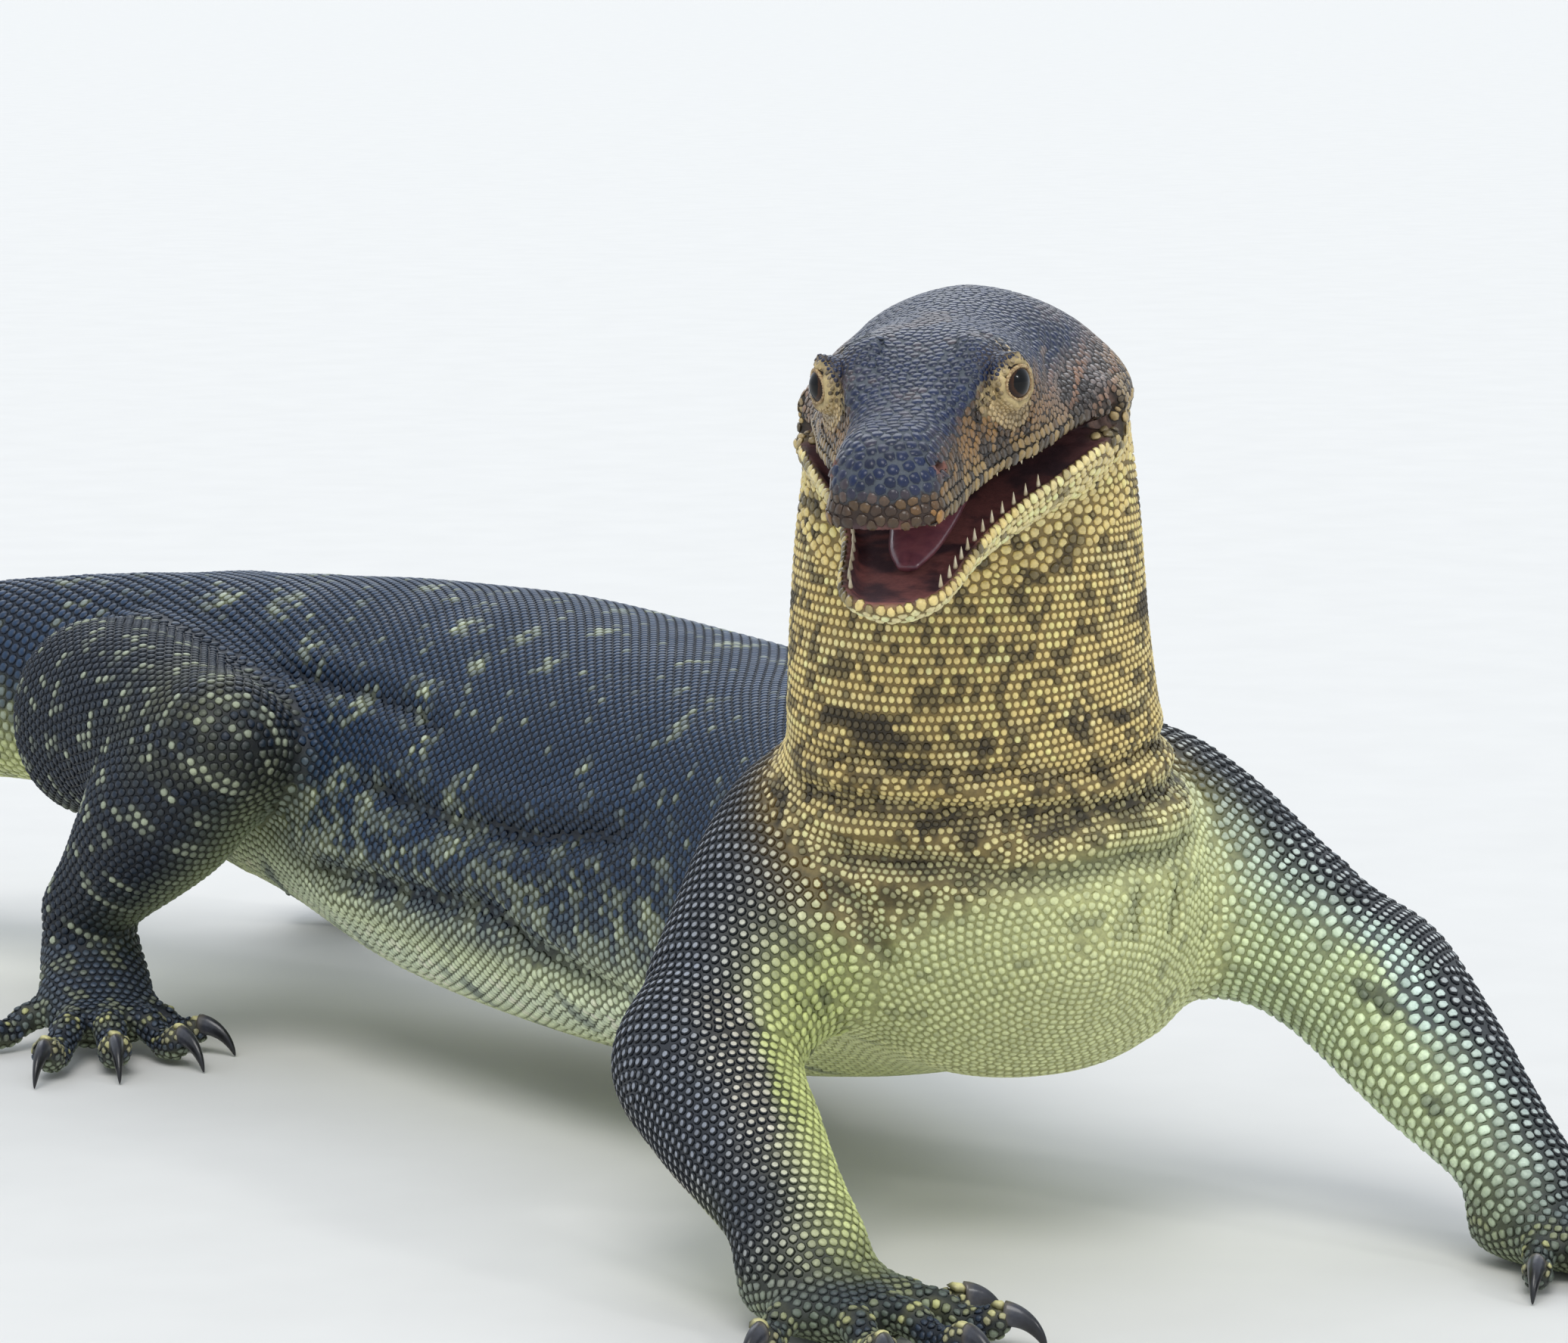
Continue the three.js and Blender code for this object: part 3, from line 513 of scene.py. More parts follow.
def head_field(voxel):
    P = np.vstack([PARTS["head"][0], PARTS["jaw"][0], PARTS["neck"][0]])
    P = P[(P - CUT_AT) @ CUT_N > -8]
    lo, hi = P.min(0) - 5, P.max(0) + 5
    N1 = Field(lo, hi, voxel, 8.0)
    for n, k in (("spine", 0.01), ("neck", 8)):
        N1.add(*PARTS[n], k)
    N2 = Field(lo, hi, voxel, 8.0)
    N2.a = N1.a.copy()
    N1.add(*PARTS["head"], 8)
    N2.add(*PARTS["jaw"], 8)
    N1.join(N2, 1.0)
    return N1


CUT_AT = np.array([0.0, -66.0, 166.0])
CUT_N = unit(HB[0] * [1, 1, 0] * 0.62 + np.array([0, 0, 0.8]))


def mesh_from_arrays(name, P, F, smooth_faces=True):
    """A triangle mesh from arrays."""
    me = bpy.data.meshes.new(name)
    n, m = len(P), len(F)
    me.vertices.add(n)
    me.vertices.foreach_set("co", np.asarray(P, np.float32).ravel())
    me.loops.add(m * 3)
    me.loops.foreach_set("vertex_index", np.asarray(F, np.int32).ravel())
    me.polygons.add(m)
    me.polygons.foreach_set("loop_start", np.arange(0, m * 3, 3, dtype=np.int32))
    me.update(calc_edges=True)
    me.polygons.foreach_set("use_smooth", np.full(m, smooth_faces, bool))
    me.update()
    return me


def clip_mesh(P, F, at, normal):
    """The triangles on the side the normal points to, cut along the plane."""
    d = (P - at) @ normal
    d = np.where(np.abs(d) < 1e-6, 1e-6, d)
    up = d > 0
    k = up[F].sum(1)
    whole = F[k == 3]
    cut = F[(k == 1) | (k == 2)]
    new, index, tri = [], {}, []
    base = len(P)

    def crossing(a, b):
        key = (a, b) if a < b else (b, a)
        if key not in index:
            t = d[a] / (d[a] - d[b])
            index[key] = base + len(new)
            new.append(P[a] + (P[b] - P[a]) * t)
        return index[key]

    for f in cut.tolist():
        for r in range(3):
            a, b, c = f[r], f[(r + 1) % 3], f[(r + 2) % 3]
            if up[a] and not up[b] and not up[c]:
                tri.append((a, crossing(a, b), crossing(a, c)))
                break
            if not up[a] and up[b] and up[c]:
                x, y = crossing(a, b), crossing(a, c)
                tri += [(x, b, c), (x, c, y)]
                break
    P = np.vstack([P, new])
    F = np.vstack([whole, np.array(tri, int)])
    return P, F


def largest_piece(P, F):
    """Only the largest connected piece, with unused points dropped."""
    label = np.arange(len(P))
    while True:
        m = label[F].min(1)
        before = label.copy()
        for c in range(3):
            np.minimum.at(label, F[:, c], m)
        label = label[label]
        if (label == before).all():
            break
    names, count = np.unique(label[F[:, 0]], return_counts=True)
    F = F[label[F[:, 0]] == names[count.argmax()]]
    used = np.unique(F)
    back = np.full(len(P), -1)
    back[used] = np.arange(len(used))
    return P[used], back[F]


def open_loop(F):
    """The one open edge of a mesh, as a loop of point numbers in the order of its faces."""
    e = np.vstack([F[:, [0, 1]], F[:, [1, 2]], F[:, [2, 0]]])
    key = np.sort(e, 1)
    u, inv, cnt = np.unique(key, axis=0, return_inverse=True, return_counts=True)
    be = e[cnt[inv.ravel()] == 1]
    nxt = {int(a): int(b) for a, b in be}
    loops = []
    while nxt:
        a = next(iter(nxt))
        loop = [a]
        b = nxt.pop(a)
        while b != loop[0] and b in nxt:
            loop.append(b)
            b = nxt.pop(b)
        loops.append(loop)
    loops.sort(key=len)
    return loops[-1], len(loops)


def quads_to_tris(T, Q):
    out = [np.asarray(T, int).reshape(-1, 3)]
    if len(Q):
        Q = np.asarray(Q, int)
        out += [Q[:, [0, 1, 2]], Q[:, [0, 2, 3]]]
    return np.vstack(out)


def outward(P, F):
    A = P[F]
    return F[:, ::-1] if np.einsum("ij,ij->i", A[:, 0], np.cross(A[:, 1], A[:, 2])).sum() < 0 else F


def skin_arrays():
    fine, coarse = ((0.8, 2.0))
    P, T, Q = body_field(coarse).mesh(-COAT)
    body = outward(P, quads_to_tris(T, Q))
    tick(f"body {len(P)}")
    Ph, Th, Qh = head_field(fine).mesh(-COAT)
    head = outward(Ph, quads_to_tris(Th, Qh))
    tick(f"head {len(Ph)}")
    A, FA = largest_piece(*clip_mesh(P, body, CUT_AT - CUT_N * 0.45, -CUT_N))
    B, FB = largest_piece(*clip_mesh(Ph, head, CUT_AT + CUT_N * 0.45, CUT_N))
    la, na = open_loop(FA)
    lb, nb = open_loop(FB)
    # bridge: walk both loops by angle about the cut's middle
    mid = A[la].mean(0)
    ex = unit(np.cross(CUT_N, [0, 0, 1.0]))
    ey = np.cross(CUT_N, ex)

    def turned(P, loop):
        a = np.arctan2((P[loop] - mid) @ ey, (P[loop] - mid) @ ex)
        if np.sum(np.diff(np.unwrap(a))) < 0:
            loop, a = loop[::-1], a[::-1]
        k = int(np.argmin(a))
        loop = loop[k:] + loop[:k]
        return loop, np.unwrap(np.concatenate([a[k:], a[:k]]))

    la, aa = turned(A, la)
    lb, ab = turned(B, lb)
    off = len(A)
    tri, i, j = [], 0, 0
    n, m = len(la), len(lb)
    aa = np.append(aa, aa[0] + 2 * np.pi)
    ab = np.append(ab, ab[0] + 2 * np.pi)
    while i < n or j < m:
        if j >= m or (i < n and aa[i + 1] <= ab[j + 1]):
            tri.append((la[i % n], la[(i + 1) % n], off + lb[j % m]))
            i += 1
        else:
            tri.append((la[i % n], off + lb[(j + 1) % m], off + lb[j % m]))
            j += 1
    P = np.vstack([A, B])
    tri = np.array(tri)
    # the bridge faces out, as the rest
    c = P[tri].mean(1) - mid
    nrm = np.cross(P[tri[:, 1]] - P[tri[:, 0]], P[tri[:, 2]] - P[tri[:, 0]])
    if (c * nrm).sum() < 0:
        tri = tri[:, ::-1]
    F = np.vstack([FA, FB + off, tri])
    tick(f"skin {len(P)} points {len(F)} faces, loops {na} {nb}")
    return P, F


SP, SF = skin_arrays()

# ---------------------------------------------------------------- the skin's own sculpting
def vertex_normals(P, F):
    A = P[F]
    n = np.cross(A[:, 1] - A[:, 0], A[:, 2] - A[:, 0])
    out = np.zeros_like(P)
    for c in range(3):
        for k in range(3):
            out[:, k] += np.bincount(F[:, c], weights=n[:, k], minlength=len(P))
    return unit(out)


def neighbour_mean(V, F, n):
    """Mean of each point's neighbours."""
    out = np.zeros((n, V.shape[1]))
    cnt = np.zeros(n)
    for a, b in ((0, 1), (1, 2), (2, 0), (1, 0), (2, 1), (0, 2)):
        cnt += np.bincount(F[:, a], minlength=n)
        for k in range(V.shape[1]):
            out[:, k] += np.bincount(F[:, a], weights=V[F[:, b], k], minlength=n)
    return out / np.maximum(cnt, 1)[:, None]


for _ in range(2):
    SP += 0.5 * (neighbour_mean(SP, SF, len(SP)) - SP)
SN = vertex_normals(SP, SF)
for _ in range(2):
    SN = unit(SN + neighbour_mean(SN, SF, len(SN)))

EYES = {}
for side in (1, -1):
    A = unit(np.array([0.50, 0.85 * side, 0.13]))
    up = unit(np.array([0.16, 0, 1]) - A * (np.array([0.16, 0, 1]) @ A))
    fwd = np.cross(up, A) * side
    if fwd[0] < 0:
        fwd = -fwd
    EYES[side] = (np.array([EYE_AT[0], EYE_AT[1] * side, EYE_AT[2]]), A, fwd, up)
EYE_OPEN = (4.5, 3.6, 4.1)  # half the opening's length, and its height over and under the middle


def eye_coordinates(H, side):
    """From a head-local point: its direction from the eyeball's centre against the lids' edge (q = 1), and how far out."""
    c, A, f, u = EYES[side]
    d = H - c
    n = unit(d)
    r = EYE_R * 1.06
    x, y, z = n @ f * r, n @ u * r, n @ A
    q = np.sqrt((x / EYE_OPEN[0]) ** 2 + (y / np.where(y > 0, EYE_OPEN[1], EYE_OPEN[2])) ** 2)
    q = np.where(z <= 0.05, 3.0, q)
    return q, x, y, d @ A, d


def sculpt_head(P, N):
    H = to_head(P)
    n = N @ HB.T
    near = (H[:, 0] > -30) & (H[:, 2] > -60)
    out = H.copy()
    push = np.zeros(len(H))
    x, y, z = H.T
    s = np.sign(y)
    ay = np.abs(y)
    upper = z > -1.0
    # brow: a long firm edge over the eye, with two soft folds under it
    line = (z - 17.0) - (84 - x) * 0.47  # over the eye, rising to the rear
    along = smooth(x, 50, 60) * (1 - smooth(x, 84, 92))
    push += 1.5 * bump(line, 2.0, 1.8) * along * upper * (ay > 9)
    fold = np.cos(2 * np.pi * (line + 2.6) / 1.9)
    push += 0.4 * fold * bump(line, -1.8, 2.2) * along * upper * (ay > 12)
    # folds below and behind the eye
    r = np.hypot(x - 71, z - 17.5)
    push += 0.28 * np.cos(2 * np.pi * (r - 8.6) / 2.6) * bump(r, 10.2, 2.8) * (z < 18) * upper * (ay > 12)
    # temple: fine long folds towards the neck
    push += 0.35 * np.sin((z * 1.1 + x * 0.22) * 1.25) * bump(x, 34, 17) * bump(z, 12, 9) * (ay > 16)
    # crown: the two low swells over the eyes, the shallow furrow between them
    push += 0.5 * bump(x, 66, 12) * bump(ay, 14, 5) * (z > 18)
    push -= 0.45 * bump(x, 78, 20) * bump(ay, 0, 4) * (z > 15)
    # lips: a soft roll along each edge, over a shallow groove
    lip = smooth(x, 34, 46) * (1 - smooth(x, 128, 132))
    push += 0.5 * bump(z, 1.4, 1.9) * lip * upper
    push -= 0.35 * bump(z, 5.2, 1.3) * lip * upper * (x > 44)
    J = to_jaw(P)
    jx, jy, jz = J.T
    lower = (z < 0.5) & (jz < 1.5) & (jx > 20) & (jx < 113)
    push += 0.5 * bump(jz, -1.6, 1.9) * lower * smooth(jx, 18, 30)
    push -= 0.3 * bump(jz, -5.0, 1.3) * lower * smooth(jx, 18, 30)
    # corner of the mouth: folds of loose skin
    push += 0.5 * np.cos((x - 30) * 1.35) * bump(x, 33, 6) * bump(z, -1.5, 6) * (ay > 22)
    out = out + n * (push * near)[:, None]
    # the muzzle's blunt corners
    out[:, 1] *= 1 + 0.11 * bump(x, 125, 5.5) * smooth(ay, 3, 9) * near
    # nostrils: an oval pit with a low rim
    for side in (1, -1):
        c = np.array([117.5, 12.4 * side, 11.2])
        d = H - c
        a = d @ unit([0.9, -0.28 * side, 0.34])
        b = d @ unit([-0.34, 0, 0.94])
        o = d @ unit([0.3, 0.95 * side, 0.1])
        q = np.sqrt((a / 2.3) ** 2 + (b / 1.45) ** 2)
        w = (np.abs(o) < 6) & (H[:, 1] * side > 4)
        k = (-2.3 * (1 - smooth(q, 0.45, 1.05)) + 0.5 * bump(q, 1.35, 0.28)) * w
        out += n * k[:, None]
        # ear: the oval recess behind the corner of the mouth
        c = np.array([22.5, 36.0 * side, -2.5])
        d = H - c
        q = np.sqrt((d[:, 0] / 3.9) ** 2 + (d[:, 2] / 6.2) ** 2)
        w = (H[:, 1] * side > 18)
        k = (-2.4 * (1 - smooth(q, 0.6, 1.1)) + 0.7 * bump(q, 1.35, 0.25)) * w
        out += n * k[:, None]
    # eyes: the lids lie on the eyeball
    for side in (1, -1):
        # the whole ball is covered, apart from the opening
        d = out - EYES[side][0]
        r = np.linalg.norm(d, axis=1)
        cover = (r < 16) & (out[:, 1] * side > 4) & (out[:, 2] > 4)
        least = EYE_R + 0.35
        r2 = 0.5 * (r + least + np.sqrt((r - least) ** 2 + 1.0))
        out = np.where(cover[:, None], EYES[side][0] + d * (np.where(cover, r2 * (1 - smooth(r, 11, 15)) + r * smooth(r, 11, 15), r) / np.maximum(r, 1e-6))[:, None], out)
        q, ex, ey, ez, d = eye_coordinates(out, side)
        near_eye = (ez > -1) & (np.linalg.norm(d, axis=1) < 15)
        over = smooth(ey, 0.2, 2.0)
        rho = EYE_R + 0.55 + 0.35 * bump(q, 1.18, 0.16) + 0.22 * np.cos(2 * np.pi * (q - 1.18) / 0.40) * smooth(q, 1.2, 1.35)
        rho = rho + 0.45 * over * bump(q, 1.42, 0.30)
        le = (out[:, 2] - 17.0) - (84 - out[:, 0]) * 0.47
        rho = rho + 1.5 * bump(le, 1.6, 1.5) * smooth(q, 1.3, 1.6) + 0.35 * np.cos(2 * np.pi * (le + 2.6) / 1.9) * bump(le, -1.4, 2.0) * smooth(q, 1.25, 1.5)
        # the lower lid is a full soft roll
        rho = rho + 0.5 * bump(q, 1.5, 0.28) * smooth(-ey, 0.5, 2.5)
        rho = np.where(q < 1.04, (EYE_R - 1.6) + 2.2 * smooth(q, 0.93, 1.04), rho)
        want = EYES[side][0] + unit(d) * rho[:, None]
        lean = np.degrees(np.arccos(np.clip(unit(d) @ EYES[side][1], -1, 1)))
        w = (1 - smooth(lean, 50, 80)) * near_eye
        out = out * (1 - w[:, None]) + want * w[:, None]
    return out @ HB + HO


def mirrored(points, centre, left):
    d = np.asarray(points, float) - centre
    return np.asarray(points, float) - 2 * (d @ left)[:, None] * left


def crease_lines():
    """Folds of the skin: lines of points in mm, with width and depth."""
    out = []
    flank = [
        ([[58, 290, 104], [51.7, 268.3, 107.9], [46.8, 229.4, 107.8], [44.1, 212.8, 107.3], [40.1, 194.8, 104.5], [35, 172, 99]], 5.5, 1.5),
        ([[40, 232, 88], [32.3, 200.9, 83.3], [27.5, 171.6, 79.8], [21.2, 131.2, 80.2], [16, 100, 84], [12.3, 75.2, 88.4], [11.3, 60, 95]], 6.5, 2.6),
        ([[46, 270, 58], [40.3, 250.4, 56.2], [32, 208.8, 57.7], [26.2, 172.6, 57.2], [21.7, 144.6, 57.8], [18.6, 116.1, 50.8], [14.8, 87.5, 45.7], [11, 62, 42]], 6.5, 2.8),
    ]
    for pts, w, d in flank:
        P = np.array(pts, float)
        out.append((P, w, d))
        Q = []
        for p in P:
            s = _s[np.argmin(((_xy - p[:2]) ** 2).sum(1))]
            c = spine_at([s])[0]
            f = unit(spine_at([s - 1])[0] - spine_at([s + 1])[0])
            l = unit(np.cross([0, 0, 1], f))
            Q.append(p - 2 * ((p - c) @ l) * l)
        out.append((np.array(Q), w, d))
    centre, left = np.array([14.0, -57.0, 106.0]), np.array([0.927, -0.375, 0.0])
    throat = [
        ([[60, -70, 131], [40, -90, 128], [22.5, -98.2, 125.5], [9.8, -97.3, 123.8]], 4.0, 1.2),
        ([[68, -70, 119], [48, -88, 117], [25.1, -95.6, 115.2], [13.7, -94.7, 113.4]], 5.0, 2.0),
        ([[60, -80, 104], [40, -93.4, 101], [22.3, -95, 100.2], [12, -94.2, 98.2]], 5.0, 2.0),
    ]
    for pts, w, d in throat:
        P = np.array(pts, float)
        out.append((np.vstack([P, mirrored(P, centre, left)[::-1]]), w, d))
    for pts, w, d in (
        ([[25, -96, 98], [24, -99, 88], [23, -100, 78]], 3.5, 1.0),
        ([[41, -93, 98], [40, -96, 88], [38, -97, 78]], 4.0, 1.4),
        ([[-28, -52, 98], [-22, -56, 86], [-16, -58, 74]], 4.5, 1.5),
        ([[-46, -52, 70], [-38, -54, 66], [-30, -50, 62]], 3.0, 0.9),
        ([[92, -92, 84], [96, -84, 76], [98, -76, 68]], 3.0, 0.9),
    ):
        out.append((np.array(pts, float), w, d))
    return out


def crease_depth(P, lines):
    """How much each point sinks (under 0) or swells beside a fold, and how much painted shade darkens the fold there.
    """
    k = np.zeros(len(P))
    shade = np.zeros(len(P))
    for pts, width, depth in lines:
        near = np.where(((P > pts.min(0) - 25) & (P < pts.max(0) + 25)).all(1))[0]
        Q = P[near]
        best, along = np.full(len(Q), 1e9), np.zeros(len(Q))
        L = 0.0
        for a, b in zip(pts[:-1], pts[1:]):
            ab = b - a
            l = np.linalg.norm(ab)
            t = np.clip((Q - a) @ ab / (ab @ ab), 0, 1)
            d = np.linalg.norm(Q - a - t[:, None] * ab, axis=1)
            m = d < best
            best[m], along[m] = d[m], (L + t[m] * l)
            L += l
        fade = smooth(along, 0, L * 0.2) * (1 - smooth(along, L * 0.8, L))
        k[near] += fade * (-depth * bump(best, 0, width * 0.5) + depth * 0.6 * bump(best, width * 1.3, width * 0.65))
        shade[near] = np.maximum(shade[near], fade * bump(best, 0, width * 0.55) * min(1.0, depth / 2.0))
    return k, shade


def on_surface(lines, P):
    """The lines with steps of about 3 mm, moved to the nearest points of the surface."""
    t = KDTree(len(P))
    for i, p in enumerate(P.tolist()):
        t.insert(p, i)
    t.balance()
    out = []
    for pts, w, d in lines:
        seg = np.concatenate([[0], np.cumsum(np.linalg.norm(np.diff(pts, axis=0), axis=1))])
        q = np.linspace(0, seg[-1], max(4, int(seg[-1] / 3)))
        fine = np.stack([np.interp(q, seg, pts[:, c]) for c in range(3)], 1)
        fine = np.array([P[t.find(p)[1]] for p in fine.tolist()])
        for _ in range(3):
            fine[1:-1] = 0.5 * fine[1:-1] + 0.25 * (fine[:-2] + fine[2:])
        out.append((fine, w, d))
    return out


FOLDS = on_surface(crease_lines(), SP[::2])
_depth, _ = crease_depth(SP, FOLDS)
SP = SP + SN * _depth[:, None]
SP = sculpt_head(SP, SN)
SP[:, 2] = np.maximum(SP[:, 2], 0.35)
tick("sculpted")

# ---------------------------------------------------------------- the scales' roots
def rows_on(rings, axis, pitch, row, top, reach=None):
    """Points in offset rows over a stack of rings: position, axis, way along 0..1, way round 0..1."""
    step = np.linalg.norm(np.diff(rings, axis=0), axis=2).mean(1)
    L = np.concatenate([[0], np.cumsum(step)])
    out = []
    x, i = 0.5, 0
    while x < L[-1]:
        k = min(np.searchsorted(L, x, side="right") - 1, len(L) - 2)
        f = (x - L[k]) / (L[k + 1] - L[k])
        R = rings[k] * (1 - f) + rings[k + 1] * f
        R = np.roll(R, -top, axis=0)
        C = np.vstack([R, R[:1]])
        d = np.concatenate([[0], np.cumsum(np.linalg.norm(np.diff(C, axis=0), axis=1))])
        p = pitch(x / L[-1]) if callable(pitch) else pitch
        N = max(5, int(round(d[-1] / p)))
        arc = ((np.arange(N) + 0.5 * (i % 2)) / N) % 1.0
        pos = np.stack([np.interp(arc * d[-1], d, C[:, c]) for c in range(3)], 1)
        ax = axis[k] * (1 - f) + axis[k + 1] * f
        out.append(np.hstack([pos, np.tile(ax, (N, 1)), np.full((N, 1), x / L[-1]), arc[:, None], np.full((N, 1), reach or p)]))
        r = row(x / L[-1]) if callable(row) else row
        x += r
        i += 1
    return np.vstack(out)


PART_NAMES = ["head", "jaw", "neck", "spine"] + [f"{n}_{w}" for n in LIMBS for w in ("upper", "lower", "palm", "digit0", "digit1", "digit2", "digit3", "digit4")]
PART_NO = {n: i for i, n in enumerate(PART_NAMES)}


def roots_of_body():
    rows = []
    fine = ring_angles(180)
    top = 45  # the ring's point on the back
    s, k = spine_stations(2.0)
    R, ax = spine_rings(s, fine, k)

    def spine_pitch(t):
        return float(np.interp(t, [0, 0.07, 0.12, 0.27, 0.34, 0.5, 0.7, 0.9, 1.0], [2.3, 2.4, 2.95, 3.0, 3.7, 4.2, 4.0, 3.2, 2.4]))

    a = rows_on(R, -ax, spine_pitch, lambda t: spine_pitch(t) * 0.93, top)
    rows.append((PART_NO["spine"], a))
    R, ax = neck_rings(fine, 73)
    rows.append((PART_NO["neck"], rows_on(R, -ax, 1.98, 2.02, top)))
    small = ring_angles(96)
    for name, L in LIMBS.items():
        up, low = FORM[L["kind"]]
        p, r = ((2.75, 2.75) if L["side"] < 0 else (2.2, 3.0)) if L["kind"] == "fore" else (2.9, 3.0)
        R, ax = bone_rings(L["a"], L["b"], up, small, 31)
        rows.append((PART_NO[name + "_upper"], rows_on(R, ax, p, r, 24, max(p, r))))
        R, ax = bone_rings(L["b"], L["c"], low, small, 31)
        rows.append((PART_NO[name + "_lower"], rows_on(R, ax, p, r, 24, max(p, r))))
        R, ax = palm_rings(L, small, 31)
        rows.append((PART_NO[name + "_palm"], rows_on(R, ax, 2.7, 2.5, 24)))
        for i, row in enumerate(DIGITS[L["kind"]]):
            R, ax = digit_rings(L, row, small, 44)
            rows.append((PART_NO[f"{name}_digit{i}"], rows_on(R, ax, 2.4, 2.45, 24)))
            tip = digit_path(L, row, 0.91)[0] + np.array([0, 0, row[4] * 0.96])
            ax1 = unit(digit_path(L, row, 1)[0] - digit_path(L, row, 0.85)[0])
            rows.append((PART_NO[f"{name}_digit{i}"], np.array([[*tip, *ax1, 2.0, 0.0, 4.6]])))
    part = np.concatenate([np.full(len(a), n) for n, a in rows])
    return part, np.vstack([a for _, a in rows])


def head_pitch(H, jaw):
    """How far apart the scales of the head are, from where they grow."""
    x, y, z = H.T
    ay = np.abs(y)
    p = np.interp(x, [-20, 10, 40, 62, 84, 100, 118, 130], [2.25, 2.05, 1.95, 2.05, 2.2, 2.6, 2.8, 2.4])
    side = smooth(ay / np.maximum(table_at(HEAD, x)[:, 0], 3), 0.72, 0.95)
    p = p * (1 - 0.14 * side)
    e = np.minimum(*(np.linalg.norm(H - EYES[k][0], axis=1) for k in (1, -1)))
    p = np.where(e < 16, p * (0.58 + 0.42 * smooth(e, 7.5, 14)), p)
    p = np.where(jaw, np.interp(x, [0, 40, 80, 120], [2.6, 2.6, 2.7, 2.4]), p)
    return p


def mouth_inside(P, N):
    """Which points of the skin are inside the mouth."""
    H, J = to_head(P), to_jaw(P)
    nh, nj = N @ HB.T, N @ JB.T
    wh = table_at(HEAD, H[:, 0])[:, 0]
    wj = table_at(JAW, J[:, 0])[:, 0]
    roof = (H[:, 0] > 33) & (H[:, 0] < 129.2) & (H[:, 2] < 4.5) & (H[:, 2] > -1.5) & (np.abs(H[:, 1]) < wh - 1.3) & (nh[:, 2] < -0.15)
    floor = (J[:, 0] > 15) & (J[:, 0] < 110.6) & (J[:, 2] > -6.5) & (J[:, 2] < 3) & (np.abs(J[:, 1]) < wj - 1.1) & (nj[:, 2] > 0.15)
    back = (H[:, 0] > 18) & (H[:, 0] < 50) & (H[:, 2] < 1.5) & (J[:, 2] > -5) & (np.abs(H[:, 1]) < wh - 4)
    return roof | floor | back


def tree_of(P):
    t = KDTree(len(P))
    for i, p in enumerate(P.tolist()):
        t.insert(p, i)
    t.balance()
    return t


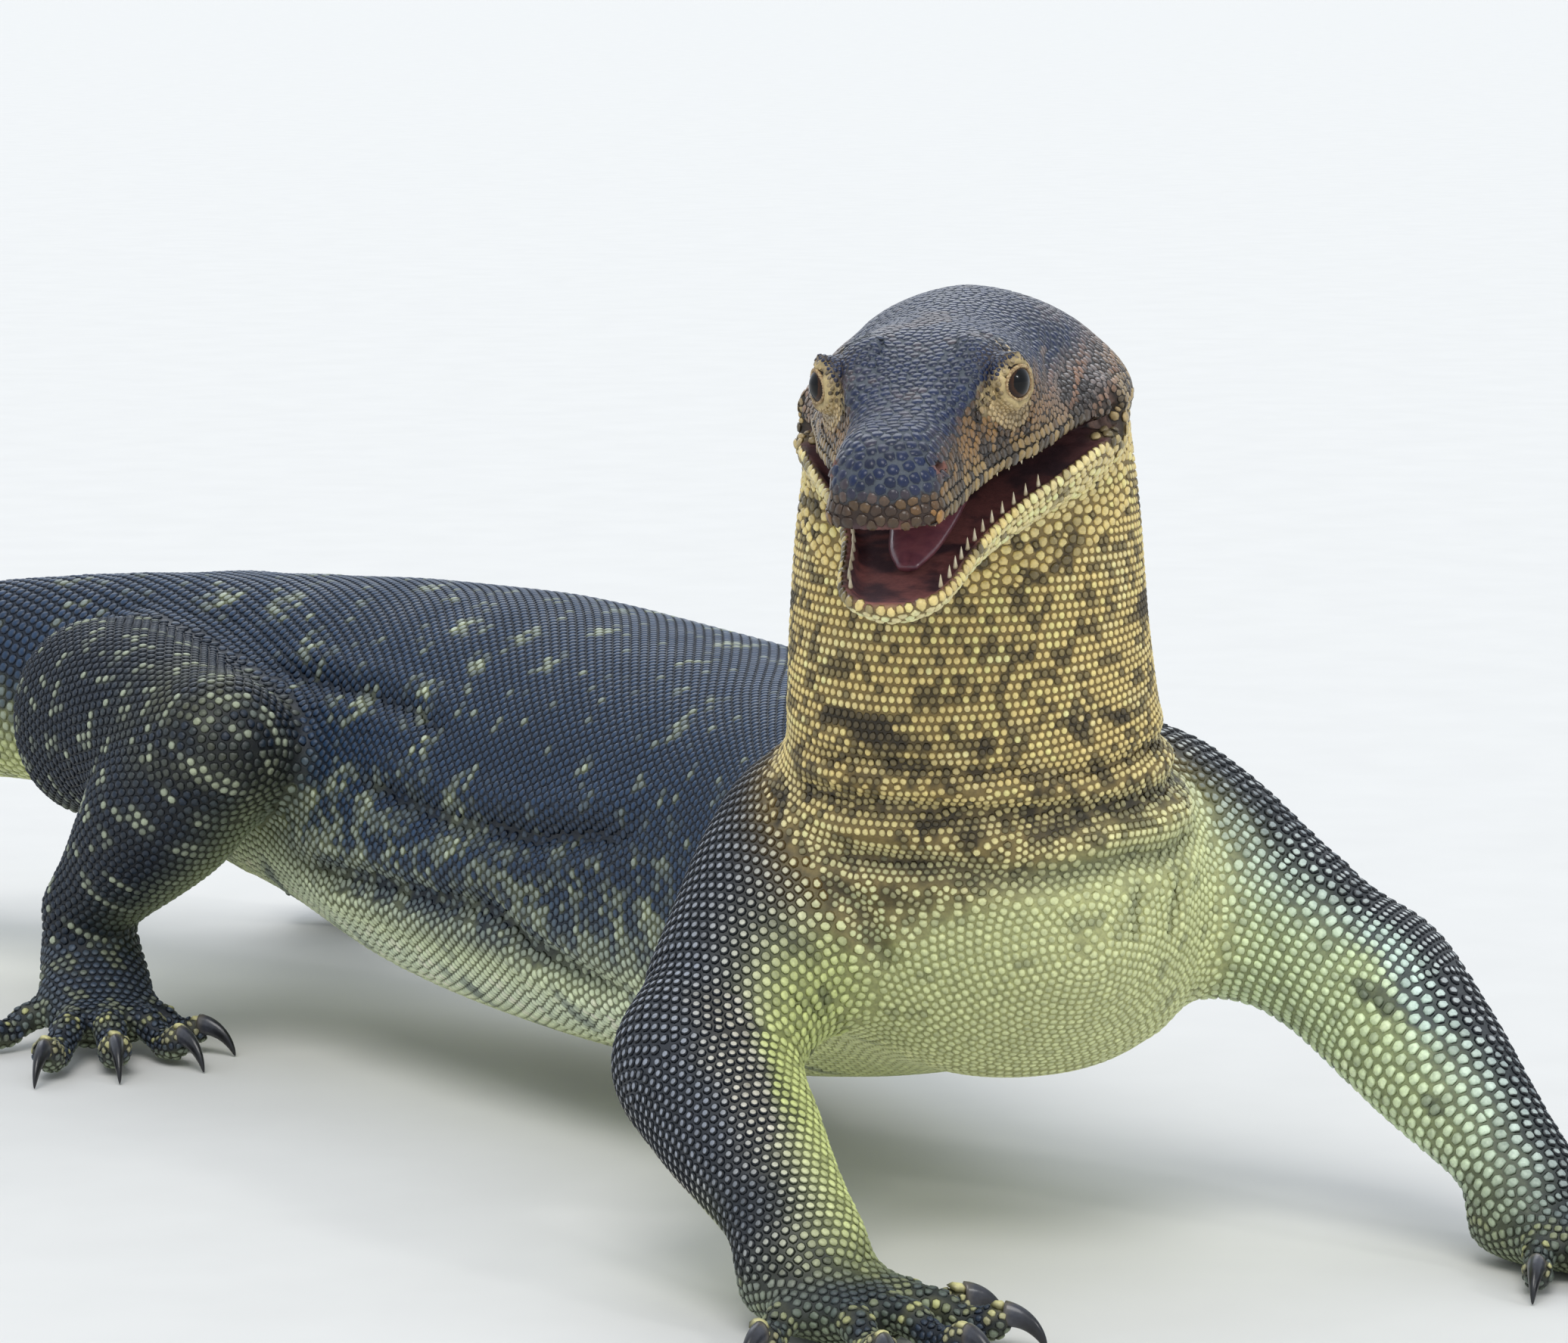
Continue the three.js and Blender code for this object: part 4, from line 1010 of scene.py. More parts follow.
def head_roots(P, F, N):
    """Seeded points spread evenly over the skin of the head, at the pitch of their place."""
    rng = np.random.default_rng(11)
    H = to_head(P)
    c = P[F].mean(1)
    ch = to_head(c)
    J = to_jaw(c)
    on_head = (c - CUT_AT) @ CUT_N > 22
    on_head &= (ch[:, 0] > -6) | (ch[:, 2] > 10)
    on_head &= ~((ch[:, 0] < 14) & (ch[:, 2] < -16))
    fn = unit(np.cross(P[F[:, 1]] - P[F[:, 0]], P[F[:, 2]] - P[F[:, 0]]))
    inside = mouth_inside(c, fn)
    keep = on_head & ~inside
    for side in (1, -1):
        q, _, _, ez, d = eye_coordinates(ch, side)
        keep &= ~((q < 1.22) & (ez > 0) & (np.linalg.norm(d, axis=1) < 12))
        dn = ch - np.array([117.5, 12.4 * side, 11.2])
        keep &= ~(np.linalg.norm(dn * [1 / 2.5, 1 / 5, 1 / 1.9], axis=1) < 1)
        de = ch - np.array([22.5, 36.0 * side, -2.5])
        keep &= ~((np.hypot(de[:, 0] / 3.7, de[:, 2] / 6.0) < 1) & (ch[:, 1] * side > 18))
    idx = np.where(keep)[0]
    area = 0.5 * np.linalg.norm(np.cross(P[F[idx, 1]] - P[F[idx, 0]], P[F[idx, 2]] - P[F[idx, 0]]), axis=1)
    jaw = (ch[idx, 2] < -1.0) & (J[idx, 2] < 1.0)
    p = head_pitch(ch[idx], jaw)
    w = area / p**2
    n = int(w.sum() * 9)
    pick = rng.choice(len(idx), n, p=w / w.sum())
    r1, r2 = np.sqrt(rng.random(n)), rng.random(n)
    tri = P[F[idx[pick]]]
    Q = tri[:, 0] * (1 - r1)[:, None] + tri[:, 1] * (r1 * (1 - r2))[:, None] + tri[:, 2] * (r1 * r2)[:, None]
    qp = p[pick]
    # lip scales first, evenly along both edges of the mouth
    lips = []
    xs = np.arange(37, 129, 0.5)
    for side in (1, -1):
        for z0, gap, start in ((1.5, 3.1, 0.0), (4.2, 2.7, 1.4)):
            w0 = table_at(HEAD, xs)[:, 0]
            line = np.stack([xs, side * w0 * 1.0, np.full(len(xs), z0)], 1)
            d = np.concatenate([[0], np.cumsum(np.linalg.norm(np.diff(line, axis=0), axis=1))])
            for t in np.arange(start, d[-1], gap):
                lips.append((*(np.array([np.interp(t, d, line[:, c]) for c in range(3)]) @ HB + HO), gap))
        xj = np.arange(22, 111, 0.5)
        for z0, gap, start in ((-1.4, 3.0, 0.6), (-4.1, 2.7, 2.0)):
            w0 = table_at(JAW, xj)[:, 0]
            line = np.stack([xj, side * w0, np.full(len(xj), z0)], 1)
            d = np.concatenate([[0], np.cumsum(np.linalg.norm(np.diff(line, axis=0), axis=1))])
            for t in np.arange(start, d[-1], gap):
                lips.append((*(np.array([np.interp(t, d, line[:, c]) for c in range(3)]) @ JB + JO), gap))
    lips = np.array(lips)
    chosen = [tuple(v) for v in lips]
    cell = 3.2
    grid = {}
    for i, v in enumerate(chosen):
        grid.setdefault((int(v[0] // cell), int(v[1] // cell), int(v[2] // cell)), []).append(i)
    order = rng.permutation(n)
    for i in order.tolist():
        x, y, z = Q[i]
        r = qp[i] * 0.80
        g = (int(x // cell), int(y // cell), int(z // cell))
        ok = True
        for a in (-1, 0, 1):
            for b in (-1, 0, 1):
                for e in (-1, 0, 1):
                    for k in grid.get((g[0] + a, g[1] + b, g[2] + e), ()):
                        v = chosen[k]
                        if (v[0] - x) ** 2 + (v[1] - y) ** 2 + (v[2] - z) ** 2 < r * r:
                            ok = False
                            break
                    if not ok:
                        break
                if not ok:
                    break
            if not ok:
                break
        if ok:
            grid.setdefault(g, []).append(len(chosen))
            chosen.append((x, y, z, qp[i]))
    C = np.array(chosen)
    fixed = len(lips)
    # even them out
    for _ in range(5):
        t = tree_of(C[:, :3])
        near = np.fromiter((t.find(q)[1] for q in Q.tolist()), int, len(Q))
        wgt = 1 / qp**2
        tot = np.bincount(near, wgt, len(C))
        new = np.stack([np.bincount(near, wgt * Q[:, c], len(C)) for c in range(3)], 1) / np.maximum(tot, 1e-9)[:, None]
        move = (tot > 0) & (np.arange(len(C)) >= fixed)
        C[move, :3] = C[move, :3] * 0.15 + new[move] * 0.85
    return C


def make_roots():
    tree = BVHTree.FromPolygons(SP.tolist(), SF.tolist())
    N = vertex_normals(SP, SF)
    N = unit(N + neighbour_mean(N, SF, len(N)))
    FN = unit(N[SF].sum(1))
    tick("tree over the skin")
    part, body = roots_of_body()
    head = head_roots(SP, SF, N)
    tick(f"laid {len(body)} and {len(head)} roots")
    hp = np.hstack([head[:, :3], np.tile(-HB[0], (len(head), 1)), np.zeros((len(head), 2)), head[:, 3:4]])
    part = np.concatenate([np.zeros(len(head), int), part])
    A = np.vstack([hp, body])
    pos = np.empty((len(A), 3))
    face = np.empty(len(A), int)
    dist = np.empty(len(A))
    for i, p in enumerate(A[:, :3].tolist()):
        co, _, f, d = tree.find_nearest(p)
        pos[i], face[i], dist[i] = co, f, d
    ok = dist < np.where(part == 0, 6.0, 3.2)
    # the body's rows stop where the head's scales begin, and outside the mouth
    nrm = FN[face]
    Hl = to_head(pos)
    in_mouth = mouth_inside(pos, unit(nrm)) & (part > 0)
    ok &= ~in_mouth
    for side in (1, -1):
        de = Hl - np.array([22.5, 36.0 * side, -2.5])
        ok &= ~((np.hypot(de[:, 0] / 3.7, de[:, 2] / 6.0) < 1) & (Hl[:, 1] * side > 18))
    A, part, pos, nrm = A[ok], part[ok], pos[ok], nrm[ok]
    # where parts meet, the first laid keeps its place
    t = tree_of(pos)
    alive = np.ones(len(pos), bool)
    pitch = A[:, 8]
    prio = np.where((part == 0) | (A[:, 6] > 1.5), 0, np.where(part == PART_NO["neck"], 2, np.where(part == PART_NO["spine"], 3, 1)))
    for i in np.lexsort((np.arange(len(pos)), prio)).tolist():
        if not alive[i]:
            continue
        for _, j, d in t.find_range(pos[i].tolist(), 0.72 * pitch[i]):
            if j != i and alive[j] and (prio[j] > prio[i] or (prio[j] == prio[i] and j > i)) and d < 0.36 * (pitch[i] + pitch[j]):
                alive[j] = False
    A, part, pos, nrm = A[alive], part[alive], pos[alive], nrm[alive]
    tick(f"{len(A)} roots kept")
    # fill what is bare
    t = tree_of(pos)
    V = SP
    bare = []
    inside = mouth_inside(V, N)
    Hv = to_head(V)
    skip = inside.copy()
    for side in (1, -1):
        q, _, _, ez, d = eye_coordinates(Hv, side)
        skip |= (q < 1.35) & (ez > -1) & (np.linalg.norm(d, axis=1) < 12)
        skip |= np.linalg.norm((Hv - np.array([117.5, 12.4 * side, 11.2])) * [1 / 3.2, 1 / 5, 1 / 2.6], axis=1) < 1
        de = Hv - np.array([22.5, 36.0 * side, -2.5])
        skip |= (np.hypot(de[:, 0] / 4.2, de[:, 2] / 6.5) < 1) & (Hv[:, 1] * side > 18)
    rng = np.random.default_rng(5)
    cand = np.where(~skip)[0]
    cand = cand[rng.permutation(len(cand))]
    fp = {}
    cell = 3.0
    added = []
    for i in cand.tolist():
        co, j, d = t.find(V[i].tolist())
        lim = 0.80 * A[j, 8]
        if d > lim:
            x, y, z = V[i]
            g = (int(x // cell), int(y // cell), int(z // cell))
            ok = True
            for a in (-1, 0, 1):
                for b in (-1, 0, 1):
                    for e in (-1, 0, 1):
                        for k in fp.get((g[0] + a, g[1] + b, g[2] + e), ()):
                            v = V[added[k][0]]
                            if (v[0] - x) ** 2 + (v[1] - y) ** 2 + (v[2] - z) ** 2 < lim * lim:
                                ok = False
            if ok:
                fp.setdefault(g, []).append(len(added))
                added.append((i, j))
    if added:
        vi = np.array([a for a, _ in added])
        ji = np.array([b for _, b in added])
        far = np.linalg.norm(V[vi] - pos[ji], axis=1) < 12
        vi, ji = vi[far], ji[far]
        extra = A[ji].copy()
        A = np.vstack([A, extra])
        part = np.concatenate([part, part[ji]])
        pos = np.vstack([pos, V[vi]])
        nrm = np.vstack([nrm, N[vi]])
    tick(f"{len(added)} roots added, {len(A)} in all")
    return part, A, pos, unit(nrm)


R_PART, R_ROW, R_POS, R_NRM = make_roots()
R_AXIS = R_ROW[:, 3:6]
R_PITCH = R_ROW[:, 8]

# ---------------------------------------------------------------- each scale's outline, from its neighbours
def scale_cells():
    n = len(R_POS)
    t = tree_of(R_POS)
    K = 10
    idx = np.empty((n, K), int)
    for i, p in enumerate(R_POS.tolist()):
        found = t.find_n(p, K + 1)
        idx[i] = [f[1] for f in found if f[1] != i][:K]
    return idx


NEAR = scale_cells()
G_N = R_NRM
G_T = unit(R_AXIS - G_N * (R_AXIS * G_N).sum(1)[:, None])
G_B = np.cross(G_N, G_T)
NDIR = 8


def outlines():
    d = R_POS[NEAR] - R_POS[:, None]
    x = np.einsum("nkc,nc->nk", d, G_T)
    y = np.einsum("nkc,nc->nk", d, G_B)
    z = np.einsum("nkc,nc->nk", d, G_N)
    # neighbours across a fold or on another limb don't count
    same = (np.einsum("nkc,nc->nk", R_NRM[NEAR], G_N) > 0.2) & (np.abs(z) < 0.8 * np.hypot(x, y) + 0.3)
    rho2 = x**2 + y**2
    ri = R_PITCH * 0.5
    rj = ri[NEAR]
    a = np.arange(NDIR) * 2 * np.pi / NDIR + np.pi / NDIR
    R = np.empty((len(d), NDIR))
    for k in range(NDIR):
        c = x * np.cos(a[k]) + y * np.sin(a[k])
        q = (rho2 + ri[:, None] ** 2 - rj**2) / (2 * np.maximum(c, 1e-6))
        q = np.where((c > 0.05 * np.sqrt(rho2)) & same, q, 1e9)
        R[:, k] = np.minimum(q.min(1), 0.66 * R_PITCH)
    R = np.maximum(R, 0.16 * R_PITCH[:, None])
    w = np.where(same, 1.0, 0)
    s11 = (w * x**4).sum(1) + 0.5
    s12 = (w * x**2 * y**2).sum(1)
    s22 = (w * y**4).sum(1) + 0.5
    b1 = (w * x**2 * (-2 * z)).sum(1)
    b2 = (w * y**2 * (-2 * z)).sum(1)
    det = s11 * s22 - s12**2
    kt = np.clip((b1 * s22 - b2 * s12) / det, -0.1, 0.3)
    kb = np.clip((s11 * b2 - s12 * b1) / det, -0.1, 0.3)
    return R, a, kt, kb


CELL_R, CELL_A, CURV_T, CURV_B = outlines()
tick("cells")


# ---------------------------------------------------------------- markings
def srgb(*c):
    c = np.array(c, float) / 255
    return np.where(c <= 0.04045, c / 12.92, ((c + 0.055) / 1.055) ** 2.4)


def hashed(i, seed):
    n = (i.astype(np.int64) * 374761393 + seed * 668265263) & 0x7FFFFFFF
    n = ((n ^ (n >> 13)) * 1274126177) & 0x7FFFFFFF
    return ((n ^ (n >> 16)) & 0xFFFF) / 65535.0


def spots(u, v, cell_u, cell_v, seed, chance, size, stretch):
    """Jittered spots on a plane: how strongly each point lies in one, 0..1."""
    best = np.zeros(len(u))
    cu, cv = np.floor(u / cell_u).astype(np.int64), np.floor(v / cell_v).astype(np.int64)
    for du in (-1, 0, 1):
        for dv in (-1, 0, 1):
            a, b = cu + du, cv + dv
            key = a * 7919 + b * 104729
            x = (a + 0.5 + 0.7 * (hashed(key, seed) - 0.5)) * cell_u
            y = (b + 0.5 + 0.8 * (hashed(key, seed + 1) - 0.5) + 0.5 * (a % 2)) * cell_v
            r = size * (0.65 + 0.7 * hashed(key, seed + 2))
            st = 1 + stretch * hashed(key, seed + 3)
            on = hashed(key, seed + 4) < chance
            d = np.hypot((u - x), (v - y) / st) / r
            best = np.maximum(best, np.where(on, 1 - smooth(d, 0.6, 1.15), 0) * (0.6 + 0.4 * hashed(key, seed + 5)))
    return best


# SLATE and SLATE_GAP: the dark slate of the back and its seams; part of their blue is a painted sheen of sky light
SLATE, SLATE_GAP = srgb(28, 55, 86), srgb(10, 20, 34)
NAVY, NAVY_GAP = srgb(26, 40, 58), srgb(11, 18, 28)
CREAM = srgb(198, 208, 180)
PALE_GREEN = srgb(212, 232, 206)
OLIVE_CREAM, OLIVE = srgb(220, 228, 160), srgb(170, 176, 116)
YELLOW_GREEN = srgb(212, 228, 176)
BEAD = srgb(176, 182, 184)
GOLD, GOLD_LIGHT, GOLD_GAP = srgb(240, 216, 144), srgb(246, 232, 176), srgb(124, 102, 56)
BLOTCH, BLOTCH_GAP = srgb(50, 42, 34), srgb(20, 18, 18)
# CROWN: the crown's dark plates; part of their deep blue is a painted reflection of the sky
CROWN, CROWN_EDGE = srgb(4, 27, 66), srgb(80, 87, 96)
FACE_TAN, FACE_DARK, FACE_GAP = srgb(136, 102, 58), srgb(38, 31, 28), srgb(26, 21, 18)
LID = srgb(206, 182, 136)
TEMPLE, RUST = srgb(122, 118, 122), srgb(176, 130, 98)


def mixed(a, b, t):
    t = np.clip(np.asarray(t, float), 0, 1)
    if t.ndim == 1:
        t = t[:, None]
    return a * (1 - t) + b * t


def spine_place():
    """Station along the back and angle from it (0 on top, 1 below) for the roots of trunk and tail."""
    s, k = spine_stations(2.0)
    R, _ = spine_rings(s, ring_angles(180), k)
    L = np.concatenate([[0], np.cumsum(np.linalg.norm(np.diff(R, axis=0), axis=2).mean(1))])
    st = np.interp(R_ROW[:, 6], L / L[-1], s)
    around = R_ROW[:, 7]
    phi = np.minimum(around, 1 - around) * 2
    girth = np.interp(st, s, np.linalg.norm(np.diff(np.concatenate([R, R[:, :1]], 1), axis=1), axis=2).sum(1))
    arc = np.where(around < 0.5, around, around - 1) * girth
    return st, phi, arc


def markings():
    n = len(R_POS)
    P, N = R_POS, G_N
    H = to_head(P)
    hx, hy, hz = H.T
    ay = np.abs(hy)
    part = R_PART
    one = hashed(np.arange(n), 3)
    two = hashed(np.arange(n), 9)
    core = np.zeros((n, 3))
    gap = np.zeros((n, 3))
    m = np.full(n, 0.35)
    is_head = part == 0
    is_neck = part == PART_NO["neck"]
    is_spine = part == PART_NO["spine"]
    st, phi, arc = spine_place()
    pale = np.zeros(n)

    # trunk and tail, dark above and pale below
    D = 1 - smooth(phi, 0.585, 0.665)
    D = np.maximum(D, smooth(st, 560, 700) * (1 - 0.65 * smooth(phi, 0.72, 0.86)))
    front = 1 - smooth(st, -50, 40)
    D = D * (1 - (1 - smooth(st, -36, 14)) * smooth(phi, 0.14, 0.34))
    ahead = N @ unit(spine_at([-60])[0] - spine_at([-40])[0])
    D = D * (1 - smooth(ahead, 0.0, 0.35) * (1 - smooth(st, -30, 20)))
    c = mixed(OLIVE_CREAM, SLATE, D)
    g = mixed(OLIVE, SLATE_GAP, D)
    chest = 1 - smooth(st, -10, 60)
    c = mixed(c, srgb(222, 228, 172), chest * (1 - D))
    g = mixed(g, srgb(182, 184, 128), 0.9 * chest * (1 - D))
    band = bump(phi, 0.705, 0.095) * smooth(st, 30, 90) * (1 - smooth(st, 300, 420))
    c = mixed(c, srgb(232, 244, 212), 0.95 * band)
    core[is_spine], gap[is_spine] = c[is_spine], g[is_spine]
    m[is_spine] = (0.30 + 0.2 * D)[is_spine]

    # limbs, dark outside and above, yellow-green inside
    out = np.zeros(n)
    side_of = np.zeros(n)
    hand = np.zeros(n)
    hind = np.zeros(n)
    lower = np.zeros(n)
    for name, L in LIMBS.items():
        base = PART_NO[name + "_upper"]
        mine = (part >= base) & (part < base + 8)
        side_of[mine] = L["side"]
        hand[mine & (part >= base + 2)] = 1
        lower[mine & (part == base + 1)] = 1
        hind[mine] = L["kind"] == "hind"
    out = N[:, 0] * side_of * 0.72 + N[:, 2] * 0.45 + N[:, 1] * 0.38 + np.where(side_of > 0, 0.36, -0.20)
    Dl = smooth(out + 0.2 * fbm(P, 16, 4), -0.38, 0.72)
    Dh = smooth(N[:, 2] * 0.8 + N[:, 0] * side_of * 0.4 + 0.2 * fbm(P, 14, 6), -0.80, -0.25)
    Dl = np.where(hind > 0, Dh, Dl)
    Dl = np.where(hand > 0, smooth(N[:, 2] + 0.2 * fbm(P, 9, 8), -0.8, -0.2), Dl)
    limb = side_of != 0
    left_arm = (side_of > 0) & (hind == 0) & (hand == 0)
    pl = mixed(mixed(srgb(206, 216, 142), srgb(200, 196, 182), smooth(Dl, 0.12, 0.42)), srgb(136, 142, 154), smooth(Dl, 0.60, 1.0))
    gl = mixed(mixed(srgb(146, 152, 98), srgb(56, 62, 42), smooth(Dl, 0.0, 0.10)), NAVY_GAP, smooth(Dl, 0.10, 0.40))
    pl2 = mixed(mixed(srgb(216, 232, 188), srgb(208, 230, 218), smooth(Dl, 0.05, 0.30)), BEAD, smooth(Dl, 0.5, 0.9))
    gl2 = mixed(srgb(140, 150, 104), NAVY_GAP, smooth(Dl, 0.0, 0.20))
    pl, gl = np.where(left_arm[:, None], pl2, pl), np.where(left_arm[:, None], gl2, gl)
    pl = np.where((hind > 0)[:, None], mixed(YELLOW_GREEN * 0.7, NAVY * 1.1, Dh), pl)
    core[limb], gap[limb] = pl[limb], gl[limb]
    m[limb] = 0.2
    dark_hand = limb & (hand > 0)
    core[dark_hand] = mixed(YELLOW_GREEN * 0.62, NAVY * 1.1, Dl)[dark_hand]
    gap[dark_hand] = mixed(srgb(60, 64, 44), NAVY_GAP, Dl)[dark_hand]

    # neck: gold with dark blotches, dark nape
    t = R_ROW[:, 6]
    a = R_ROW[:, 7]
    np_ = np.minimum(a, 1 - a) * 2
    Dn = 1 - smooth(np_ + 0.06 * fbm(P, 20, 12), 0.20, 0.42)
    cn = mixed(GOLD, SLATE * 0.8, Dn)
    cn = mixed(cn, srgb(232, 240, 190), (1 - smooth(t, 0.08, 0.38)) * (1 - Dn))
    gn = mixed(GOLD_GAP, SLATE_GAP, Dn)
    core[is_neck], gap[is_neck] = cn[is_neck], gn[is_neck]
    m[is_neck] = 0.25

    # head: dark polished plates with brownish seams above, tan and dark mottling on its sides, pale below
    J = to_jaw(P)
    on_jaw = (hz < -0.6) & (J[:, 2] < 1.5)
    nh = N @ HB.T
    topness = smooth(nh[:, 2], 0.15, 0.6) * smooth(hz, 8, 15)
    line = (hz - 17.0) - (84 - hx) * 0.47
    topness = np.maximum(topness, smooth(line, 0.3, 1.5) * smooth(hz, 15, 18) * smooth(hx, 46, 58) * (1 - smooth(hx, 90, 98)))
    topness = np.maximum(topness, smooth(hx, 108, 120) * smooth(hz, 4.5, 8.5) * ~on_jaw * smooth(nh[:, 0] + 0.6 * nh[:, 2], 0.1, 0.6))
    snout = smooth(hx, 104, 122)
    ch = mixed(FACE_TAN, CROWN, topness)
    gh = mixed(FACE_GAP, CROWN_EDGE, topness)
    lipline = bump(hz, 2.0, 3.4) * (hx > 36) * ~on_jaw
    ch = mixed(ch, GOLD * 0.55, 0.4 * lipline)
    tmp = bump(hx, 26, 24) * smooth(hz, -2, 7) * smooth(ay, 14, 24) * (1 - topness)
    ch = mixed(ch, TEMPLE, 0.9 * tmp)
    ch = np.where(on_jaw[:, None], mixed(GOLD, GOLD_LIGHT, smooth(-nh[:, 2], 0.1, 0.8)), ch)
    gh = np.where(on_jaw[:, None], GOLD_GAP, gh)
    core[is_head], gap[is_head] = ch[is_head], gh[is_head]
    m[is_head] = np.where(on_jaw, 0.2, 0.06 + 0.15 * (1 - topness))[is_head]

    # soft change-over where the parts meet
    group = np.where(is_head, 0, np.where(is_neck, 1, np.where(is_spine, 2, 3 + side_of + 10 * hind + 0.5 * hand)))
    edge = (group[NEAR] != group[:, None]).any(1).astype(float)
    for _ in range(7):
        edge = np.maximum(edge, 0.86 * edge[NEAR].max(1))
    base = np.hstack([core, gap, m[:, None]])
    for _ in range(12):
        base = base * (1 - 0.8 * edge[:, None]) + base[NEAR].mean(1) * 0.8 * edge[:, None]
    core, gap, m = base[:, :3], base[:, 3:6], base[:, 6]
    near_joint = smooth(edge, 0.3, 0.9)

    # ---- marks over it
    # back and flanks: scattered pale rosettes in rows across
    sp = spots(st, arc, 30, 27, 21, 0.66, 5.4, 0.25) * (hashed(np.arange(n), 77) < 0.62)
    sp2 = spots(st + 300, arc + 50, 16, 15, 31, 0.66, 4.4, 0.25) * (hashed(np.arange(n), 78) < 0.66) * smooth(phi, 0.36, 0.50) * (1 - smooth(phi, 0.72, 0.8))
    sp3 = spots(st, arc + 11, 9, 8.5, 41, 0.42, 1.7, 0.1) * 0.75
    trunk_w = is_spine & (st < 560)
    tail_w = smooth(st, 480, 560)
    v = np.maximum(np.maximum(sp, sp2), sp3 * 0.8) * (0.55 + 0.45 * one)
    ringy = np.where(two < 0.22, 0.45, 1.0)
    v = v * ringy * (1 - 0.25 * bump(phi, 0, 0.1))
    col_ = smooth(np.cos(2 * np.pi * (st + 6 * fbm(P, 26, 47)) / 21.0), -0.2, 0.8)
    hazy = smooth(fbm(P, 5, 19) + 0.25 + 0.35 * col_, 0.15, 0.65) * smooth(phi, 0.40, 0.58) * 0.72 * (hashed(np.arange(n), 79) < 0.7)
    v = np.maximum(v, hazy * (0.5 + 0.5 * one))
    vt = np.zeros(n)
    wave = np.cos(2 * np.pi * (st - 520 + 5 * fbm(P, 30, 14)) / 58.0)
    vt = smooth(wave + 0.5 * fbm(P, 9, 15), 0.35, 0.95) * smooth(phi, 0.12, 0.35)
    vt = np.maximum(vt, spots(st, arc, 13, 9, 51, 0.45, 2.6, 0.5) * 0.8) * (0.5 + 0.5 * one)
    v = v * (1 - tail_w) + vt * tail_w
    v = np.where(is_spine, v, 0)
    front_w = 1 - smooth(st, -30, 50)
    v = v * np.clip(D + 0.0, 0, 1)
    core = mixed(core, CREAM, 0.92 * v)
    gap = mixed(gap, OLIVE * 0.8, 0.55 * v)
    # dark tongues and flecks on the pale flank and belly
    fl = spots(st + 77, arc, 21, 24, 61, 0.7, 5.5, 1.4) * smooth(fbm(P, 7, 18) + 0.35, 0, 0.5)
    fl = fl * is_spine * (1 - D) * (1 - 0.75 * smooth(phi, 0.80, 0.95)) * smooth(st, 20, 60)
    bars = smooth(np.cos(2 * np.pi * st / 42 + 1.2 * fbm(P, 40, 22)), 0.55, 0.95) * smooth(phi, 0.80, 0.86) * (1 - smooth(phi, 0.93, 1.0)) * is_spine * smooth(st, 60, 120)
    fl = np.maximum(0.8 * fl, 0.75 * bars * smooth(fbm(P, 6, 23) + 0.5, 0, 0.6))
    core = mixed(core, SLATE * 0.9, 0.85 * fl)
    gap = mixed(gap, SLATE_GAP, fl)
    # corners between the pale beads of the flank are dark
    pb = np.clip(band * is_spine, 0, 1)
    gap = mixed(gap, SLATE_GAP * 1.5, 0.75 * pb)
    # shoulder and chest: cream beads, a few dark flecks
    ck = smooth(fbm(P, 5, 25) - 0.42, 0, 0.2) * front_w * is_spine * (1 - D) * (1 - smooth(phi, 0.7, 0.85)) * 0.45
    core = mixed(core, SLATE_GAP * 1.6, 0.75 * ck)
    gap = mixed(gap, SLATE_GAP, 0.8 * ck)

    # arms: uneven beads, dark clouds, a few dark spots inside
    arm = limb & (hind == 0) & (hand == 0)
    cloud = smooth(fbm(P, 22, 26) + 0.30 * fbm(P, 6, 27) - 0.12, 0, 0.4)
    core = mixed(core, NAVY * 1.8, np.where(arm, 0.55 * cloud * smooth(Dl, 0.25, 0.9), 0))
    core = mixed(core, core * 0.55, np.where(arm, 0.7 * (one < 0.16), 0))
    flecks = spots(P[:, 0] + P[:, 2], P[:, 1] - P[:, 2], 19, 19, 71, 0.4, 3.0, 0.4)
    core = mixed(core, SLATE_GAP * 1.4, np.where(arm, 0.85 * flecks * (1 - Dl), 0))
    gap = mixed(gap, SLATE_GAP, np.where(arm, 0.85 * flecks * (1 - Dl), 0))
    # hind legs: pale round spots on dark, yellowish knees
    leg = limb & (hind > 0) & (hand == 0)
    key = P[:, 0] * 0.6 + P[:, 2] * 0.8
    ls = spots(key, P[:, 1] + 0.5 * P[:, 0], 8.6, 8.6, 81, 0.95, 2.1, 0.0)
    core = mixed(core, NAVY * 0.75, np.where(leg, 0.25 + 0.55 * Dl, 0))
    core = mixed(core, CREAM * 0.8, np.where(leg, 0.85 * ls * Dl, 0))
    knee = np.zeros(n)
    for name, L in LIMBS.items():
        if L["kind"] == "hind":
            knee = np.maximum(knee, bump(np.linalg.norm(P - np.array(L["b"]) + np.array([0, 0, -6.0]), axis=1), 0, 24))
    core = mixed(core, srgb(126, 126, 78), np.where(leg, 0.50 * knee * smooth(fbm(P, 9, 28) + 0.4, 0, 0.8), 0))
    gap = mixed(gap, srgb(44, 44, 32), np.where(leg, 0.5 * knee, 0))
    # hands and feet: dark with yellow-green flecks, pale rows over the toes
    hs = smooth(fbm(P, 5.5, 29) + 0.25 * (one - 0.5) - 0.12, 0, 0.3)
    core = mixed(core, srgb(168, 172, 118), np.where(dark_hand, 0.55 * hs * Dl, 0))
    core = mixed(core, srgb(96, 108, 124), np.where(dark_hand & (hind > 0), 0.35, 0.12 * dark_hand))
    toe = dark_hand & (np.isin((part - PART_NO["fore_right_upper"]) % 8, (3, 4, 5, 6, 7)))
    rowv = smooth(np.cos(2 * np.pi * R_ROW[:, 6] * 4.2 + 0.4), 0.3, 0.9)
    core = mixed(core, srgb(196, 196, 132), np.where(toe, 0.8 * rowv * (one > 0.45) * (N[:, 2] > 0.1), 0))
    tip = toe & (R_ROW[:, 6] > 0.83)
    core = mixed(core, srgb(196, 190, 140), np.where(tip, 0.6 * (N[:, 2] > 0), 0))

